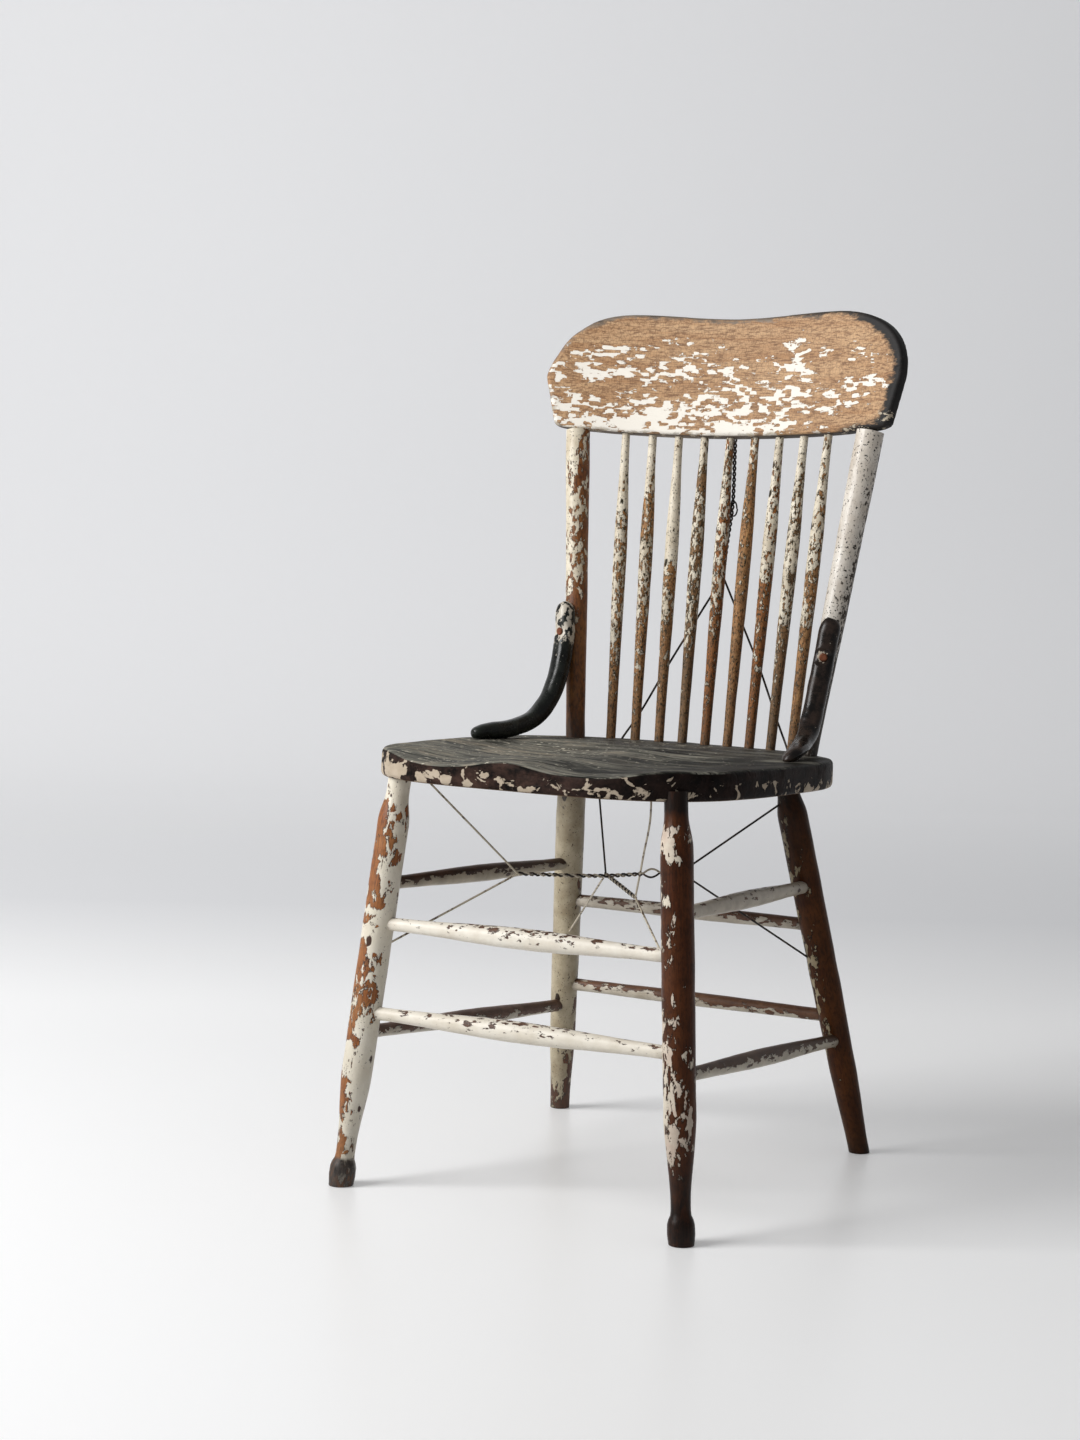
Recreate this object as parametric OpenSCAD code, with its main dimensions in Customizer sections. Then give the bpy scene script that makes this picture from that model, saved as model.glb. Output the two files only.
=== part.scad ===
// Turned spindle-back side chair in old paint, mended with braces and wire.
// Millimetres, +Z up, the sitter faces -Y. The floor is z = 0 and the origin
// is on the floor under the middle of the chair's bounding box.

/* [Seat] */
// Height of the seat's top face above the floor
seat_height = 452; // [380:1:500]
// Thickness of the seat plank
seat_thick = 30; // [26:1:40]
// Width of the seat at its widest line
seat_w = 428; // [350:1:520]
// Depth of the seat in front of its widest line
seat_front = 276; // [220:1:320]
// Depth of the seat behind its widest line
seat_back = 180; // [150:1:230]
// Squareness of the front half of the outline, 2 is an ellipse
front_square = 3.6; // [3.2:0.1:4]
// Squareness of the back half of the outline, 2 is an ellipse
back_square = 2.5; // [2:0.1:4]
// Rounding of the upper edge
seat_top_round = 8; // [3:0.5:11]
// Rounding of the lower edge
seat_low_round = 4; // [2:0.5:6]
// Depth of the two hollows that the sitter's weight rests in
dish_depth = 9; // [4:0.5:10]
// Distance of each hollow from the middle line
dish_x = 80; // [60:1:100]
// Depth of the two leg dips at the front edge
dip_depth = 9; // [4:0.5:10]

/* [Legs] */
// Diameter of a leg between its shoulder and its taper
leg_d = 33; // [28:0.5:42]
// Diameter of a leg's neck where it enters the seat
neck_d = 24; // [18:0.5:27]
// Distance of the shoulder below the seat
shoulder_drop = 40; // [30:1:60]
// Diameter of the thin ankle above a front foot
ankle_d = 20; // [16:0.5:25]
// Diameter of the bulb foot of a front leg
foot_d = 28; // [22:0.5:36]
// Height of the bulb foot
foot_h = 26; // [20:1:34]
// Diameter of a back leg at the floor
back_foot_d = 23; // [18:0.5:30]
// Distance of the front necks from the seat's side
front_inset_x = 52; // [52:1:66]
// Distance of the front necks from the seat's front
front_inset_y = 47; // [47:1:66]
// Distance of the back necks from the seat's side
back_inset_x = 80; // [70:1:94]
// Distance of the back necks from the seat's back
back_inset_y = 86; // [76:1:100]
// Splay of a front foot, outward
front_splay_x = 38; // [10:1:60]
// Splay of a front foot, forward
front_splay_y = 37; // [10:1:60]
// Splay of a back foot, outward
back_splay_x = 60; // [20:1:80]
// Splay of a back foot, backward
back_splay_y = 100; // [40:1:130]

/* [Stretchers] */
// Diameter of a stretcher's ends
rung_end_d = 14; // [10:0.5:16]
// Diameter of the front stretchers' middles
front_rung_d = 22; // [18:0.5:26]
// Diameter of the side stretchers' middles
side_rung_d = 19; // [16:0.5:26]
// Diameter of the back stretchers' middles
back_rung_d = 16; // [15:0.5:26]
// Height of the upper front stretcher
front_high = 277; // [260:1:285]
// Height of the lower front stretcher
front_low = 183; // [178:1:200]
// Height of the upper side stretchers at the front legs
side_high = 318; // [306:1:330]
// Height of the lower side stretchers at the front legs
side_low = 161; // [140:1:163]
// Drop of the upper side stretchers towards the back legs
side_high_drop = 12; // [0:1:16]
// Drop of the lower side stretchers towards the back legs
side_low_drop = 30; // [24:1:40]
// Height of the upper back stretcher
back_high = 262; // [250:1:280]
// Height of the lower back stretcher
back_low = 158; // [152:1:180]

/* [Back] */
// Height of the crest rail's lower edge above the seat
back_rise = 351; // [300:1:420]
// Width of the crest rail
crest_w = 440; // [400:1:500]
// Height of the crest rail at its horns
crest_h = 142; // [110:1:170]
// Thickness of the crest rail in the middle
crest_thick = 22; // [20:0.5:28]
// Thickness of the crest rail at its ends
crest_end_thick = 14; // [12:0.5:18]
// Radius of the crest rail's front face
crest_r = 650; // [550:10:900]
// Lean of the crest rail, in degrees
crest_tilt = 9; // [4:0.5:12]
// Distance of the crest rail's front face from the origin
crest_y = 215; // [195:1:225]
// Dip of the crest rail's upper edge between its horns
crest_dip = 4.5; // [0:0.5:8]
// Distance of a post's lower end from the seat's side
post_inset_x = 68; // [62:1:84]
// Distance of a post's lower end from the seat's back
post_inset_y = 59; // [50:1:66]
// Distance of a post's upper end from the crest rail's end
post_top_inset = 36; // [30:1:50]
// Diameter of a post at the seat
post_low_d = 22; // [18:0.5:26]
// Diameter of a post under the crest rail
post_top_d = 29; // [20:0.5:30]
// Diameter of a post's tenon in the crest rail
post_tenon_d = 10; // [7:0.5:11]
// Distance of the outer spindles from the middle line, at the seat
spindle_low_x = 114.5; // [100:0.5:118]
// Distance of the outer spindles from the middle line, at the crest rail
spindle_top_x = 128; // [110:0.5:140]
// Distance of the middle spindle from the seat's back
spindle_inset = 17; // [15:0.5:24]
// Distance that the spindle row bows backward
spindle_bow = 14; // [8:0.5:18]
// Diameter of a spindle's lower end
spindle_low_d = 11; // [8:0.5:13]
// Diameter of a spindle's swelling
spindle_mid_d = 15.5; // [13:0.5:18]
// Diameter of a spindle's upper end
spindle_top_d = 9.5; // [7:0.5:12]

/* [Braces] */
// Width of a brace
brace_w = 20; // [16:0.5:24]
// Thickness of a brace
brace_t = 18; // [14:0.5:20]
// Place of the left foot from the seat's side
left_brace_x = 17; // [14:1:24]
// Place of the left foot behind the seat's widest line
left_brace_y = -10; // [-30:1:10]
// Place of the right foot from the seat's side
right_brace_x = 34; // [24:1:44]
// Place of the right foot behind the seat's widest line
right_brace_y = 25; // [10:1:40]
// Height of the left brace's upper end above the seat
left_brace_h = 158; // [130:1:200]
// Height of the right brace's upper end above the seat
right_brace_h = 152; // [130:1:200]
// Height of the left screw above the seat
left_screw_h = 125; // [100:1:128]
// Height of the right screw above the seat
right_screw_h = 110; // [100:1:128]
// Diameter of a brace screw's head
screw_head_d = 9; // [7:0.5:11]
// Diameter of a brace screw's shank
screw_d = 4; // [3:0.5:5]

/* [Wire] */
// Diameter of the tie wire
wire_d = 2; // [1.5:0.1:3]
// Diameter over two wires twisted together
twist_d = 4; // [3:0.1:6]

/* [Fits] */
// Clearance around a round end in its socket
fit = 0.1; // [0.05:0.05:0.3]
// Clearance between the end of a piece and the bottom of its socket
end_gap = 0.5; // [0.2:0.1:1]
// Clearance between surfaces that lie on each other
lay_gap = 0.1; // [0.05:0.05:0.3]
// Depth of the leg sockets in the seat
leg_socket = 16; // [12:1:18]
// Depth of the stretcher sockets in the legs
rung_socket = 10; // [7:0.5:12]
// Depth of the post sockets in the seat
post_socket = 18; // [14:1:20]
// Depth of the spindle sockets in the seat
spindle_socket = 14; // [10:1:18]
// Depth of the sockets in the crest rail
crest_socket = 20; // [12:1:26]
// Depth of the wire holes in the wood
wire_hole = 8; // [5:1:9]

/* [Hidden] */

wood = "tan";
paint = "ivory";
dark = "darkslategray";
rust = "sienna";
turned_fn = 48;
bore_fn = 32;
spindles = 9;

LEFT = -1;
RIGHT = 1;
FRONT = -1;
BACK = 1;

// Where the seat lies: its widest line is a little behind the origin.
seat_mid_y = 21;
seat_under = seat_height - seat_thick;
seat_front_y = seat_mid_y - seat_front;
seat_back_y = seat_mid_y + seat_back;

// ---------------------------------------------------------------- helpers

function lerp(a, b, t) = a + (b - a) * t;
function unit(v) = v / norm(v);
function swing(t) = (1 - cos(180 * t)) / 2;

// Children built along +Z from a are laid from a towards b, turned about
// their own axis by the angle turn.
module along(a, b, turn = 0) {
    v = b - a;
    translate(a)
        rotate([0, acos(v[2] / norm(v)), atan2(v[1], v[0])])
            rotate([0, 0, turn])
                children();
}

// A turned piece: keys are [height, diameter] stations, joined by cosine curves.
module turned(keys, steps = 5) {
    last = len(keys) - 1;
    side = [
        for (i = [0:last - 1], s = [0:steps - 1])
            let (t = s / steps, a = keys[i], b = keys[i + 1])
                if (s == 0 || a[1] != b[1])
                    [lerp(a[1], b[1], swing(t)) / 2, lerp(a[0], b[0], t)]
    ];
    rotate_extrude($fn = turned_fn)
        polygon(concat(
            [[0, keys[0][0]]],
            side,
            [[keys[last][1] / 2, keys[last][0]], [0, keys[last][0]]]
        ));
}

// A bent bar: one ring of points about each centre, closed at both ends.
module swept(rings) {
    n = len(rings[0]);
    m = len(rings);
    sides = [
        for (i = [0:m - 2], j = [0:n - 1])
            let (k = (j + 1) % n)
                [i * n + j, i * n + k, (i + 1) * n + k, (i + 1) * n + j]
    ];
    low = [for (j = [n - 1:-1:0]) j];
    high = [for (j = [0:n - 1]) (m - 1) * n + j];
    polyhedron([for (r = rings, p = r) p], concat([low], sides, [high]));
}

// A wire along its route, as one tube of eight sides.
function heading(route, i) =
    let (last = len(route) - 1)
        unit(
            (i < last ? unit(route[i + 1] - route[i]) : [0, 0, 0])
            + (i > 0 ? unit(route[i] - route[i - 1]) : [0, 0, 0])
        );
module wire(route, d = wire_d) {
    sides = 8;
    spread = unit(route[len(route) - 1] - route[0]);
    away = abs(spread[2]) > 0.7 ? [1, 0, 0] : [0, 0, 1];
    swept([
        for (i = [0:len(route) - 1])
            let (
                h = heading(route, i),
                u = unit(cross(away, h)),
                v = cross(h, u)
            )
                [
                    for (j = [0:sides - 1])
                        let (a = 360 * j / sides)
                            route[i] + d / 2 * (cos(a) * u + sin(a) * v)
                ]
    ]);
}

// A drilled hole for a wire that ends at p and comes from q.
module wire_bore(p, q, d = wire_d) {
    along(p + unit(p - q) * end_gap, q)
        cylinder(d = d + 2 * fit, h = 3 * wire_hole, $fn = bore_fn);
}

// ------------------------------------------------------------- leg layout

// Centre of a leg where it meets the seat's underside, and on the floor.
function neck(side, row) =
    row == FRONT
        ? [side * (seat_w / 2 - front_inset_x), seat_front_y + front_inset_y, seat_under]
        : [side * (seat_w / 2 - back_inset_x), seat_back_y - back_inset_y, seat_under];
function foot(side, row) =
    let (n = neck(side, row))
        row == FRONT
            ? [n[0] + side * front_splay_x, n[1] - front_splay_y, 0]
            : [n[0] + side * back_splay_x, n[1] + back_splay_y, 0];
function leg_at(side, row, z) =
    lerp(foot(side, row), neck(side, row), z / seat_under);

// Stretchers: two leg points, then the diameter of the middle.
function rungs() = [
    ["front_upper", LEFT, FRONT, front_high, RIGHT, FRONT, front_high, front_rung_d],
    ["front_lower", LEFT, FRONT, front_low, RIGHT, FRONT, front_low, front_rung_d],
    ["back_upper", LEFT, BACK, back_high, RIGHT, BACK, back_high, back_rung_d],
    ["back_lower", LEFT, BACK, back_low, RIGHT, BACK, back_low, back_rung_d],
    ["left_upper", LEFT, FRONT, side_high, LEFT, BACK, side_high - side_high_drop, side_rung_d],
    ["left_lower", LEFT, FRONT, side_low, LEFT, BACK, side_low - side_low_drop, side_rung_d],
    ["right_upper", RIGHT, FRONT, side_high, RIGHT, BACK, side_high - side_high_drop, side_rung_d],
    ["right_lower", RIGHT, FRONT, side_low, RIGHT, BACK, side_low - side_low_drop, side_rung_d]
];
function rung_from(r) = leg_at(r[1], r[2], r[3]);
function rung_to(r) = leg_at(r[4], r[5], r[6]);

// How far a stretcher's end stops from the axis of its leg.
rung_stop = leg_d / 2 - rung_socket;

// Turns a round shape about its own axis, so that its seam meets no edge.
seam_turn = 10;

// ------------------------------------------------------------ back layout

crest_z = seat_height + back_rise;
crest_r_back = 1 / (1 / crest_r
    + 2 * (crest_thick - crest_end_thick) / pow(crest_w / 2, 2));
function crest_front(x) = -(crest_r - sqrt(crest_r * crest_r - x * x));
function crest_rear(x) =
    crest_thick - (crest_r_back - sqrt(crest_r_back * crest_r_back - x * x));
function crest_mid(x) = crest_y + (crest_front(x) + crest_rear(x)) / 2;

// The crest rail's own frame: x right, y through its thickness, z up its face.
module crest_frame() {
    translate([0, crest_y, crest_z])
        rotate([-crest_tilt, 0, 0])
            children();
}

// The lower edge lifts slightly towards the ends.
crest_lift = 5;
function crest_low(x) = crest_lift * pow(2 * x / crest_w, 2);

// Post and spindle axes, from the seat's top face to the crest's lower edge.
function post_low(side) =
    [side * (seat_w / 2 - post_inset_x), seat_back_y - post_inset_y, seat_height];
function post_top(side) =
    let (x = crest_w / 2 - post_top_inset)
        [side * x, crest_mid(x) + 1.5, crest_z + crest_low(x)];
function spindle_k(i) = (i - 1) / (spindles - 1) * 2 - 1;
function spindle_low(i) =
    let (k = spindle_k(i))
        [k * spindle_low_x, seat_back_y - spindle_inset - spindle_bow * k * k, seat_height];
function spindle_top(i) =
    let (x = spindle_k(i) * spindle_top_x)
        [x, crest_mid(x) + 0.5, crest_z + crest_low(x)];

// ----------------------------------------------------------- brace layout

// The brace lies in the plane of its foot's direction and of the post. Its
// upper part laps on the post's front, a little to the outside.
lap_out = 5;
lap_front = 17;
function lap_offset(side) = [side * lap_out, -lap_front, 0];
function post_dir(side) = unit(post_top(side) - post_low(side));
function brace_tip(side) =
    side == LEFT
        ? [-(seat_w / 2 - left_brace_x), seat_mid_y + left_brace_y, seat_height]
        : [seat_w / 2 - right_brace_x, seat_mid_y + right_brace_y, seat_height];
function brace_heel(side) = post_low(side) + lap_offset(side);
function brace_run(side) = norm(brace_heel(side) - brace_tip(side));
function brace_fwd(side) = unit(brace_heel(side) - brace_tip(side));
function brace_flat(side) = unit(cross(brace_fwd(side), post_dir(side)));
function brace_height(side) = side == LEFT ? left_brace_h : right_brace_h;

// Centre line as [along the seat, up the post], from the tip to the top.
bend_start = 0.16;
bend_low = 0.68;
bend_high = 0.90;
bend_lift = 26;
bend_top = 116;
function bezier(a, b, c, d, t) =
    pow(1 - t, 3) * a + 3 * pow(1 - t, 2) * t * b + 3 * (1 - t) * t * t * c + pow(t, 3) * d;
bend_steps = 16;
function brace_line(side) =
    let (
        run = brace_run(side),
        z0 = brace_t / 2
    )
        concat(
            [[-8, z0 - 3], [-4, z0 - 2.2], [4, z0 - 1]],
            [
                for (s = [0:bend_steps])
                    bezier(
                        [bend_start * run, z0],
                        [bend_low * run, z0 + 2],
                        [bend_high * run, z0 + bend_lift],
                        [run, z0 + bend_top],
                        s / bend_steps
                    )
            ],
            [[run, brace_height(side) - 6], [run, brace_height(side) - 1.5]],
            [[run, brace_height(side)]]
        );
// Share of the full section at each station: both ends are rounded off.
function brace_size(i, count) =
    i == 0 ? 0.45 : i == 1 ? 0.7 : i == 2 ? 0.86 : i == count - 1 ? 0.6
    : i == count - 2 ? 0.9 : 1;

module brace_solid(side) {
    line = brace_line(side);
    count = len(line);
    across = brace_flat(side);
    o = brace_tip(side);
    fwd = brace_fwd(side);
    up = post_dir(side);
    pts = [for (p = line) o + p[0] * fwd + p[1] * up];
    corners = 20;
    round_off = 2.6;
    swept([
        for (i = [0:count - 1])
            let (
                h = heading(pts, i),
                thick = unit(cross(h, across)),
                g = brace_size(i, count)
            )
                [
                    for (j = [0:corners - 1])
                        let (
                            a = -360 * j / corners,
                            c = pow(abs(cos(a)), 2 / round_off) * sign(cos(a)),
                            s = pow(abs(sin(a)), 2 / round_off) * sign(sin(a))
                        )
                            pts[i] + g * (c * brace_w / 2 * across + s * brace_t / 2 * thick)
                ]
    ]);
}

// The screw goes in from the brace's face towards the post's axis.
function screw_h(side) = side == LEFT ? left_screw_h : right_screw_h;
function screw_axis(side) = -unit(lap_offset(side));
function screw_seat(side) =
    post_low(side) + post_dir(side) * screw_h(side) + lap_offset(side)
    - screw_axis(side) * (brace_t / 2 + lay_gap);
screw_head_h = 2;
screw_len = 27;

module at_screw(side) {
    p = screw_seat(side);
    along(p, p + screw_axis(side)) children();
}
module screw_bore(side) {
    at_screw(side)
        translate([0, 0, -end_gap])
            cylinder(d = screw_d + 2 * fit, h = screw_len + 2 * end_gap, $fn = bore_fn);
}

// ------------------------------------------------------------ wire layout

// Each truss runs across the chair from a front leg to the opposite back leg.
// A knot lies at a share of the way between the two legs, at its own height.
function across_at(side, f, z) = lerp(leg_at(side, FRONT, z), leg_at(-side, BACK, z), f);

// A wire stops inside a leg, wire_hole under the surface.
function in_leg(side, row, z, towards) =
    let (a = leg_at(side, row, z), d = towards - a)
        a + unit([d[0], d[1], d[2]]) * (leg_d / 2 - wire_hole);

function left_knot(k) = across_at(LEFT, k == 0 ? 0.305 : 0.695, k == 0 ? 326 : 324);
function right_knot(k) = across_at(RIGHT, k == 0 ? 0.35 : 0.624, k == 0 ? 311 : 318);

function left_legs() = [
    in_leg(LEFT, FRONT, 247, left_knot(0)),
    in_leg(RIGHT, BACK, 214, left_knot(1))
];
function right_legs() = [
    in_leg(RIGHT, FRONT, 246, right_knot(0)),
    in_leg(LEFT, BACK, 216, right_knot(1))
];
function left_seat() = across_at(LEFT, 0.06, seat_under + wire_hole);
function left_neck() = leg_at(RIGHT, BACK, seat_under - 17)
    + unit(left_knot(1) - leg_at(RIGHT, BACK, seat_under - 17)) * (neck_d / 2 - 6);
function right_seat() = [
    across_at(RIGHT, 0.305, 342),
    across_at(RIGHT, 0.273, 365),
    across_at(RIGHT, 0.236, 388),
    across_at(RIGHT, 0.218, 406),
    across_at(RIGHT, 0.214, seat_under + wire_hole)
];
function right_back_seat() = across_at(RIGHT, 0.735, seat_under + wire_hole);

// The stay behind the spindles, from the crest rail down to its fork. Its
// upper part keeps its distance from the middle of the crest rail's thickness.
stay_y = crest_y + crest_thick / 2;
stay_top = [
    [5, stay_y + 7, 816],
    [5, stay_y + 6.5, 800],
    [6, stay_y + 5, 740],
    [6, stay_y + 2, 716],
    [3, stay_y - 2.5, 685],
    [-1, stay_y - 7.5, 640]
];
stay_arm = [
    [-1, stay_y - 7.5, 641],
    [-30, 210, 590],
    [-59, 201, 538],
    [-86, 190, 485],
    [-105, 180, 452],
    [-108, 177, 441]
];
function mirror_x(route) = [for (p = route) [-p[0], p[1], p[2]]];

// ------------------------------------------------------------------- seat

// Half width of the outline on the line at y, for an outline moved in by e.
function seat_outline(e) = [
    for (i = [0:95])
        let (
            a = 360 * i / 96,
            back = sin(a) >= 0,
            n = back ? back_square : front_square,
            depth = (back ? seat_back : seat_front) - e,
            c = pow(abs(cos(a)), 2 / n) * sign(cos(a)),
            s = pow(abs(sin(a)), 2 / n) * sign(sin(a))
        )
            [(seat_w / 2 - e) * c, seat_mid_y + depth * s]
];

module seat_blank() {
    // Layers as [height, inset]: quarter rounds above and below.
    layers = concat(
        [for (a = [0:30:90]) [seat_low_round * (1 - cos(a)), seat_low_round * (1 - sin(a))]],
        [
            for (a = [0:22.5:90])
                [seat_thick - seat_top_round * (1 - sin(a)), seat_top_round * (1 - cos(a))]
        ]
    );
    swept([
        for (l = layers)
            [for (p = seat_outline(l[1])) [p[0], p[1], seat_under + l[0]]]
    ]);
}

module seat() {
    dish_r = 700;
    dish_y = seat_mid_y - 71;
    dip_r = 260;
    dip_x = 86;
    dip_fade = 200;
    color(dark)
        difference() {
            seat_blank();
            for (side = [LEFT, RIGHT]) {
                translate([side * dish_x, dish_y, seat_height + dish_r - dish_depth])
                    rotate([90, 0, 0])
                        sphere(r = dish_r, $fn = 200);
                along(
                    [side * dip_x, seat_front_y, seat_height + dip_r - dip_depth],
                    [side * dip_x, seat_front_y + dip_fade, seat_height + dip_r]
                )
                    translate([0, 0, -dip_fade / 2])
                        cylinder(r = dip_r, h = dip_fade * 2, $fn = 180);
                for (row = [FRONT, BACK])
                    along(leg_at(side, row, seat_under - 20), neck(side, row), 180 + seam_turn)
                        cylinder(
                            d = neck_d + 2 * fit,
                            h = norm(neck(side, row) - leg_at(side, row, seat_under - 20))
                                + leg_socket + end_gap,
                            $fn = bore_fn
                        );
                along(
                    post_low(side) - post_dir(side) * (post_socket + end_gap),
                    post_top(side),
                    180 + seam_turn
                )
                    cylinder(d = post_low_d + 2 * fit, h = 2 * post_socket, $fn = bore_fn);
            }
            for (i = [1:spindles])
                along(spindle_foot(i, end_gap), spindle_top(i), seam_turn)
                    cylinder(d = spindle_low_d + 2 * fit, h = 2 * spindle_socket, $fn = bore_fn);
            wire_bore(left_seat(), left_knot(0));
            wire_bore(right_seat()[4], right_seat()[3]);
            wire_bore(right_back_seat(), right_knot(1));
            wire_bore(stay_arm[5], stay_arm[4]);
            wire_bore(mirror_x(stay_arm)[5], mirror_x(stay_arm)[4]);
        }
}

// ------------------------------------------------------------------- legs

module leg_stock(side, row) {
    reach = norm(neck(side, row) - foot(side, row));
    top = [
        [reach - shoulder_drop - 50, leg_d],
        [reach - shoulder_drop, leg_d],
        [reach - 7, neck_d],
        [reach + leg_socket, neck_d]
    ];
    front_foot = [
        [-8, foot_d - 3],
        [0, foot_d - 2],
        [foot_h * 0.4, foot_d],
        [foot_h * 0.75, foot_d - 0.5],
        [foot_h + 5, ankle_d],
        [foot_h + 12, ankle_d],
        [125, leg_d - 0.6],
        [210, leg_d]
    ];
    back_foot = [
        [-8, back_foot_d - 0.6],
        [4, back_foot_d],
        [110, leg_d - 3],
        [210, leg_d - 1]
    ];
    // The seam of the turning faces away from the sockets.
    along(foot(side, row), neck(side, row), 180 + seam_turn)
        turned(concat(row == FRONT ? front_foot : back_foot, top));
}

module rung_bore(from, to) {
    along(from, to)
        translate([0, 0, rung_stop - end_gap])
            cylinder(d = rung_end_d + 2 * fit, h = leg_d, $fn = bore_fn);
}

module leg(side, row) {
    difference() {
        leg_stock(side, row);
        translate(foot(side, row) - [leg_d, leg_d, 2 * leg_d])
            cube(2 * leg_d);
        for (r = rungs()) {
            if (r[1] == side && r[2] == row)
                rung_bore(rung_from(r), rung_to(r));
            if (r[4] == side && r[5] == row)
                rung_bore(rung_to(r), rung_from(r));
        }
        if (side == LEFT && row == FRONT)
            wire_bore(left_legs()[0], left_knot(0));
        if (side == RIGHT && row == BACK) {
            wire_bore(left_legs()[1], left_knot(1));
            wire_bore(left_neck(), left_knot(1));
        }
        if (side == RIGHT && row == FRONT)
            wire_bore(right_legs()[0], right_knot(0));
        if (side == LEFT && row == BACK)
            wire_bore(right_legs()[1], right_knot(1));
    }
}

module leg_front_left() color(paint) leg(LEFT, FRONT);
module leg_front_right() color(rust) leg(RIGHT, FRONT);
module leg_back_left() color(paint) leg(LEFT, BACK);
module leg_back_right() color(rust) leg(RIGHT, BACK);

// ------------------------------------------------------------- stretchers

module stretcher(r) {
    span = norm(rung_to(r) - rung_from(r));
    along(rung_from(r), rung_to(r))
        turned(
            [
                [rung_stop, rung_end_d],
                [leg_d / 2 + 6, rung_end_d],
                [span / 2, r[7]],
                [span - leg_d / 2 - 6, rung_end_d],
                [span - rung_stop, rung_end_d]
            ],
            8
        );
}

// ------------------------------------------------------- posts, spindles

module post(side) {
    low = post_low(side);
    top = post_top(side);
    reach = norm(top - low);
    difference() {
        union() {
            intersection() {
                along(low, top)
                    turned([
                        [-post_socket, post_low_d],
                        [12, post_low_d],
                        [reach * 0.55, lerp(post_low_d, post_top_d, 0.75)],
                        [reach * 0.92, post_top_d],
                        [reach + 10, post_top_d - 0.5]
                    ]);
                // The shoulder is cut parallel to the crest rail's lower edge.
                crest_frame()
                    translate([-crest_w, -crest_w, -3 * crest_w - lay_gap])
                        cube([2 * crest_w, 2 * crest_w, 3 * crest_w + shoulder_z()]);
            }
            along(low, top)
                translate([0, 0, reach - 12])
                    cylinder(d = post_tenon_d, h = crest_socket + 12, $fn = turned_fn);
        }
        screw_bore(side);
    }
}
// Height of the shoulder in the crest rail's frame, at the post's inner side.
function shoulder_z() = crest_low(crest_w / 2 - post_top_inset - post_top_d / 2);

module post_left() color(paint) post(LEFT);
module post_right() color(paint) post(RIGHT);

// A point on a spindle's axis, extra below the bottom of its socket.
function spindle_foot(i, extra) =
    spindle_low(i)
    - unit(spindle_top(i) - spindle_low(i)) * (spindle_socket + extra);

module spindle(i) {
    low = spindle_low(i);
    top = spindle_top(i);
    reach = norm(top - low);
    color(paint)
        along(low, top)
            turned([
                [-spindle_socket, spindle_low_d],
                [2, spindle_low_d],
                [reach * 0.63, spindle_mid_d],
                [reach * 0.98, spindle_top_d],
                [reach + crest_socket, spindle_top_d]
            ]);
}

// ------------------------------------------------------------- crest rail

module crest_outline() {
    half = crest_w / 2;
    // The upper corner is a superellipse from the horn to the widest point.
    horn_x = half * 0.52;
    wide_z = crest_h * 0.45;
    corner_square = 2.3;
    low_x = half - 13;
    right = concat(
        [for (x = [0:half / 8:half - 30]) [x, crest_low(x)]],
        [for (a = [0:30:90]) [low_x - 9 + 9 * sin(a), crest_low(half) + 8 - 8 * cos(a)]],
        [
            for (a = [0:7.5:90])
                [
                    horn_x + (half - horn_x) * pow(cos(a), 2 / corner_square),
                    wide_z + (crest_h - wide_z) * pow(sin(a), 2 / corner_square)
                ]
        ],
        [
            for (t = [0.9:-0.1:0.05])
                [horn_x * t, crest_h - crest_dip * (1 + cos(180 * t)) / 2]
        ]
    );
    left = [for (i = [len(right) - 1:-1:1]) [-right[i][0], right[i][1]]];
    polygon(concat(right, [[0, crest_h - crest_dip]], left));
}

module crest_rail() {
    color(wood)
        difference() {
            crest_frame()
                difference() {
                    intersection() {
                        rotate([90, 0, 0])
                            linear_extrude(height = crest_w, center = true)
                                crest_outline();
                        translate([0, crest_thick - crest_r_back, -1])
                            cylinder(r = crest_r_back, h = crest_h + 2, $fn = 360);
                    }
                    translate([0, -crest_r, -2])
                        cylinder(r = crest_r, h = crest_h + 4, $fn = 360);
                }
            for (i = [1:spindles])
                along(lerp(spindle_low(i), spindle_top(i), 0.9), spindle_top(i))
                    cylinder(
                        d = spindle_top_d + 2 * fit,
                        h = 0.1 * norm(spindle_top(i) - spindle_low(i)) + crest_socket + end_gap,
                        $fn = bore_fn
                    );
            for (side = [LEFT, RIGHT])
                along(lerp(post_low(side), post_top(side), 0.9), post_top(side))
                    cylinder(
                        d = post_tenon_d + 2 * fit,
                        h = 0.1 * norm(post_top(side) - post_low(side)) + crest_socket + end_gap,
                        $fn = bore_fn
                    );
            wire_bore(stay_top[0], stay_top[1], twist_d);
        }
}

// ----------------------------------------------------------------- braces

module brace(side) {
    difference() {
        brace_solid(side);
        // The foot's sole is flat on the seat.
        translate(brace_tip(side) + [-seat_w, -seat_w, lay_gap - seat_thick])
            cube([2 * seat_w, 2 * seat_w, seat_thick]);
        // The upper part is hollowed to the post's round.
        along(post_low(side), post_top(side))
            cylinder(d = post_low_d + 0.7 * (post_top_d - post_low_d) + 2 * lay_gap,
                h = brace_height(side) + 20, $fn = turned_fn);
        screw_bore(side);
        // The screw's head sits on a spot faced flat in the bent wood.
        at_screw(side)
            translate([0, 0, -brace_t])
                cylinder(d = screw_head_d + 4 * fit, h = brace_t, $fn = turned_fn);
    }
}
module brace_left() color(dark) brace(LEFT);
module brace_right() color(dark) brace(RIGHT);

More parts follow.
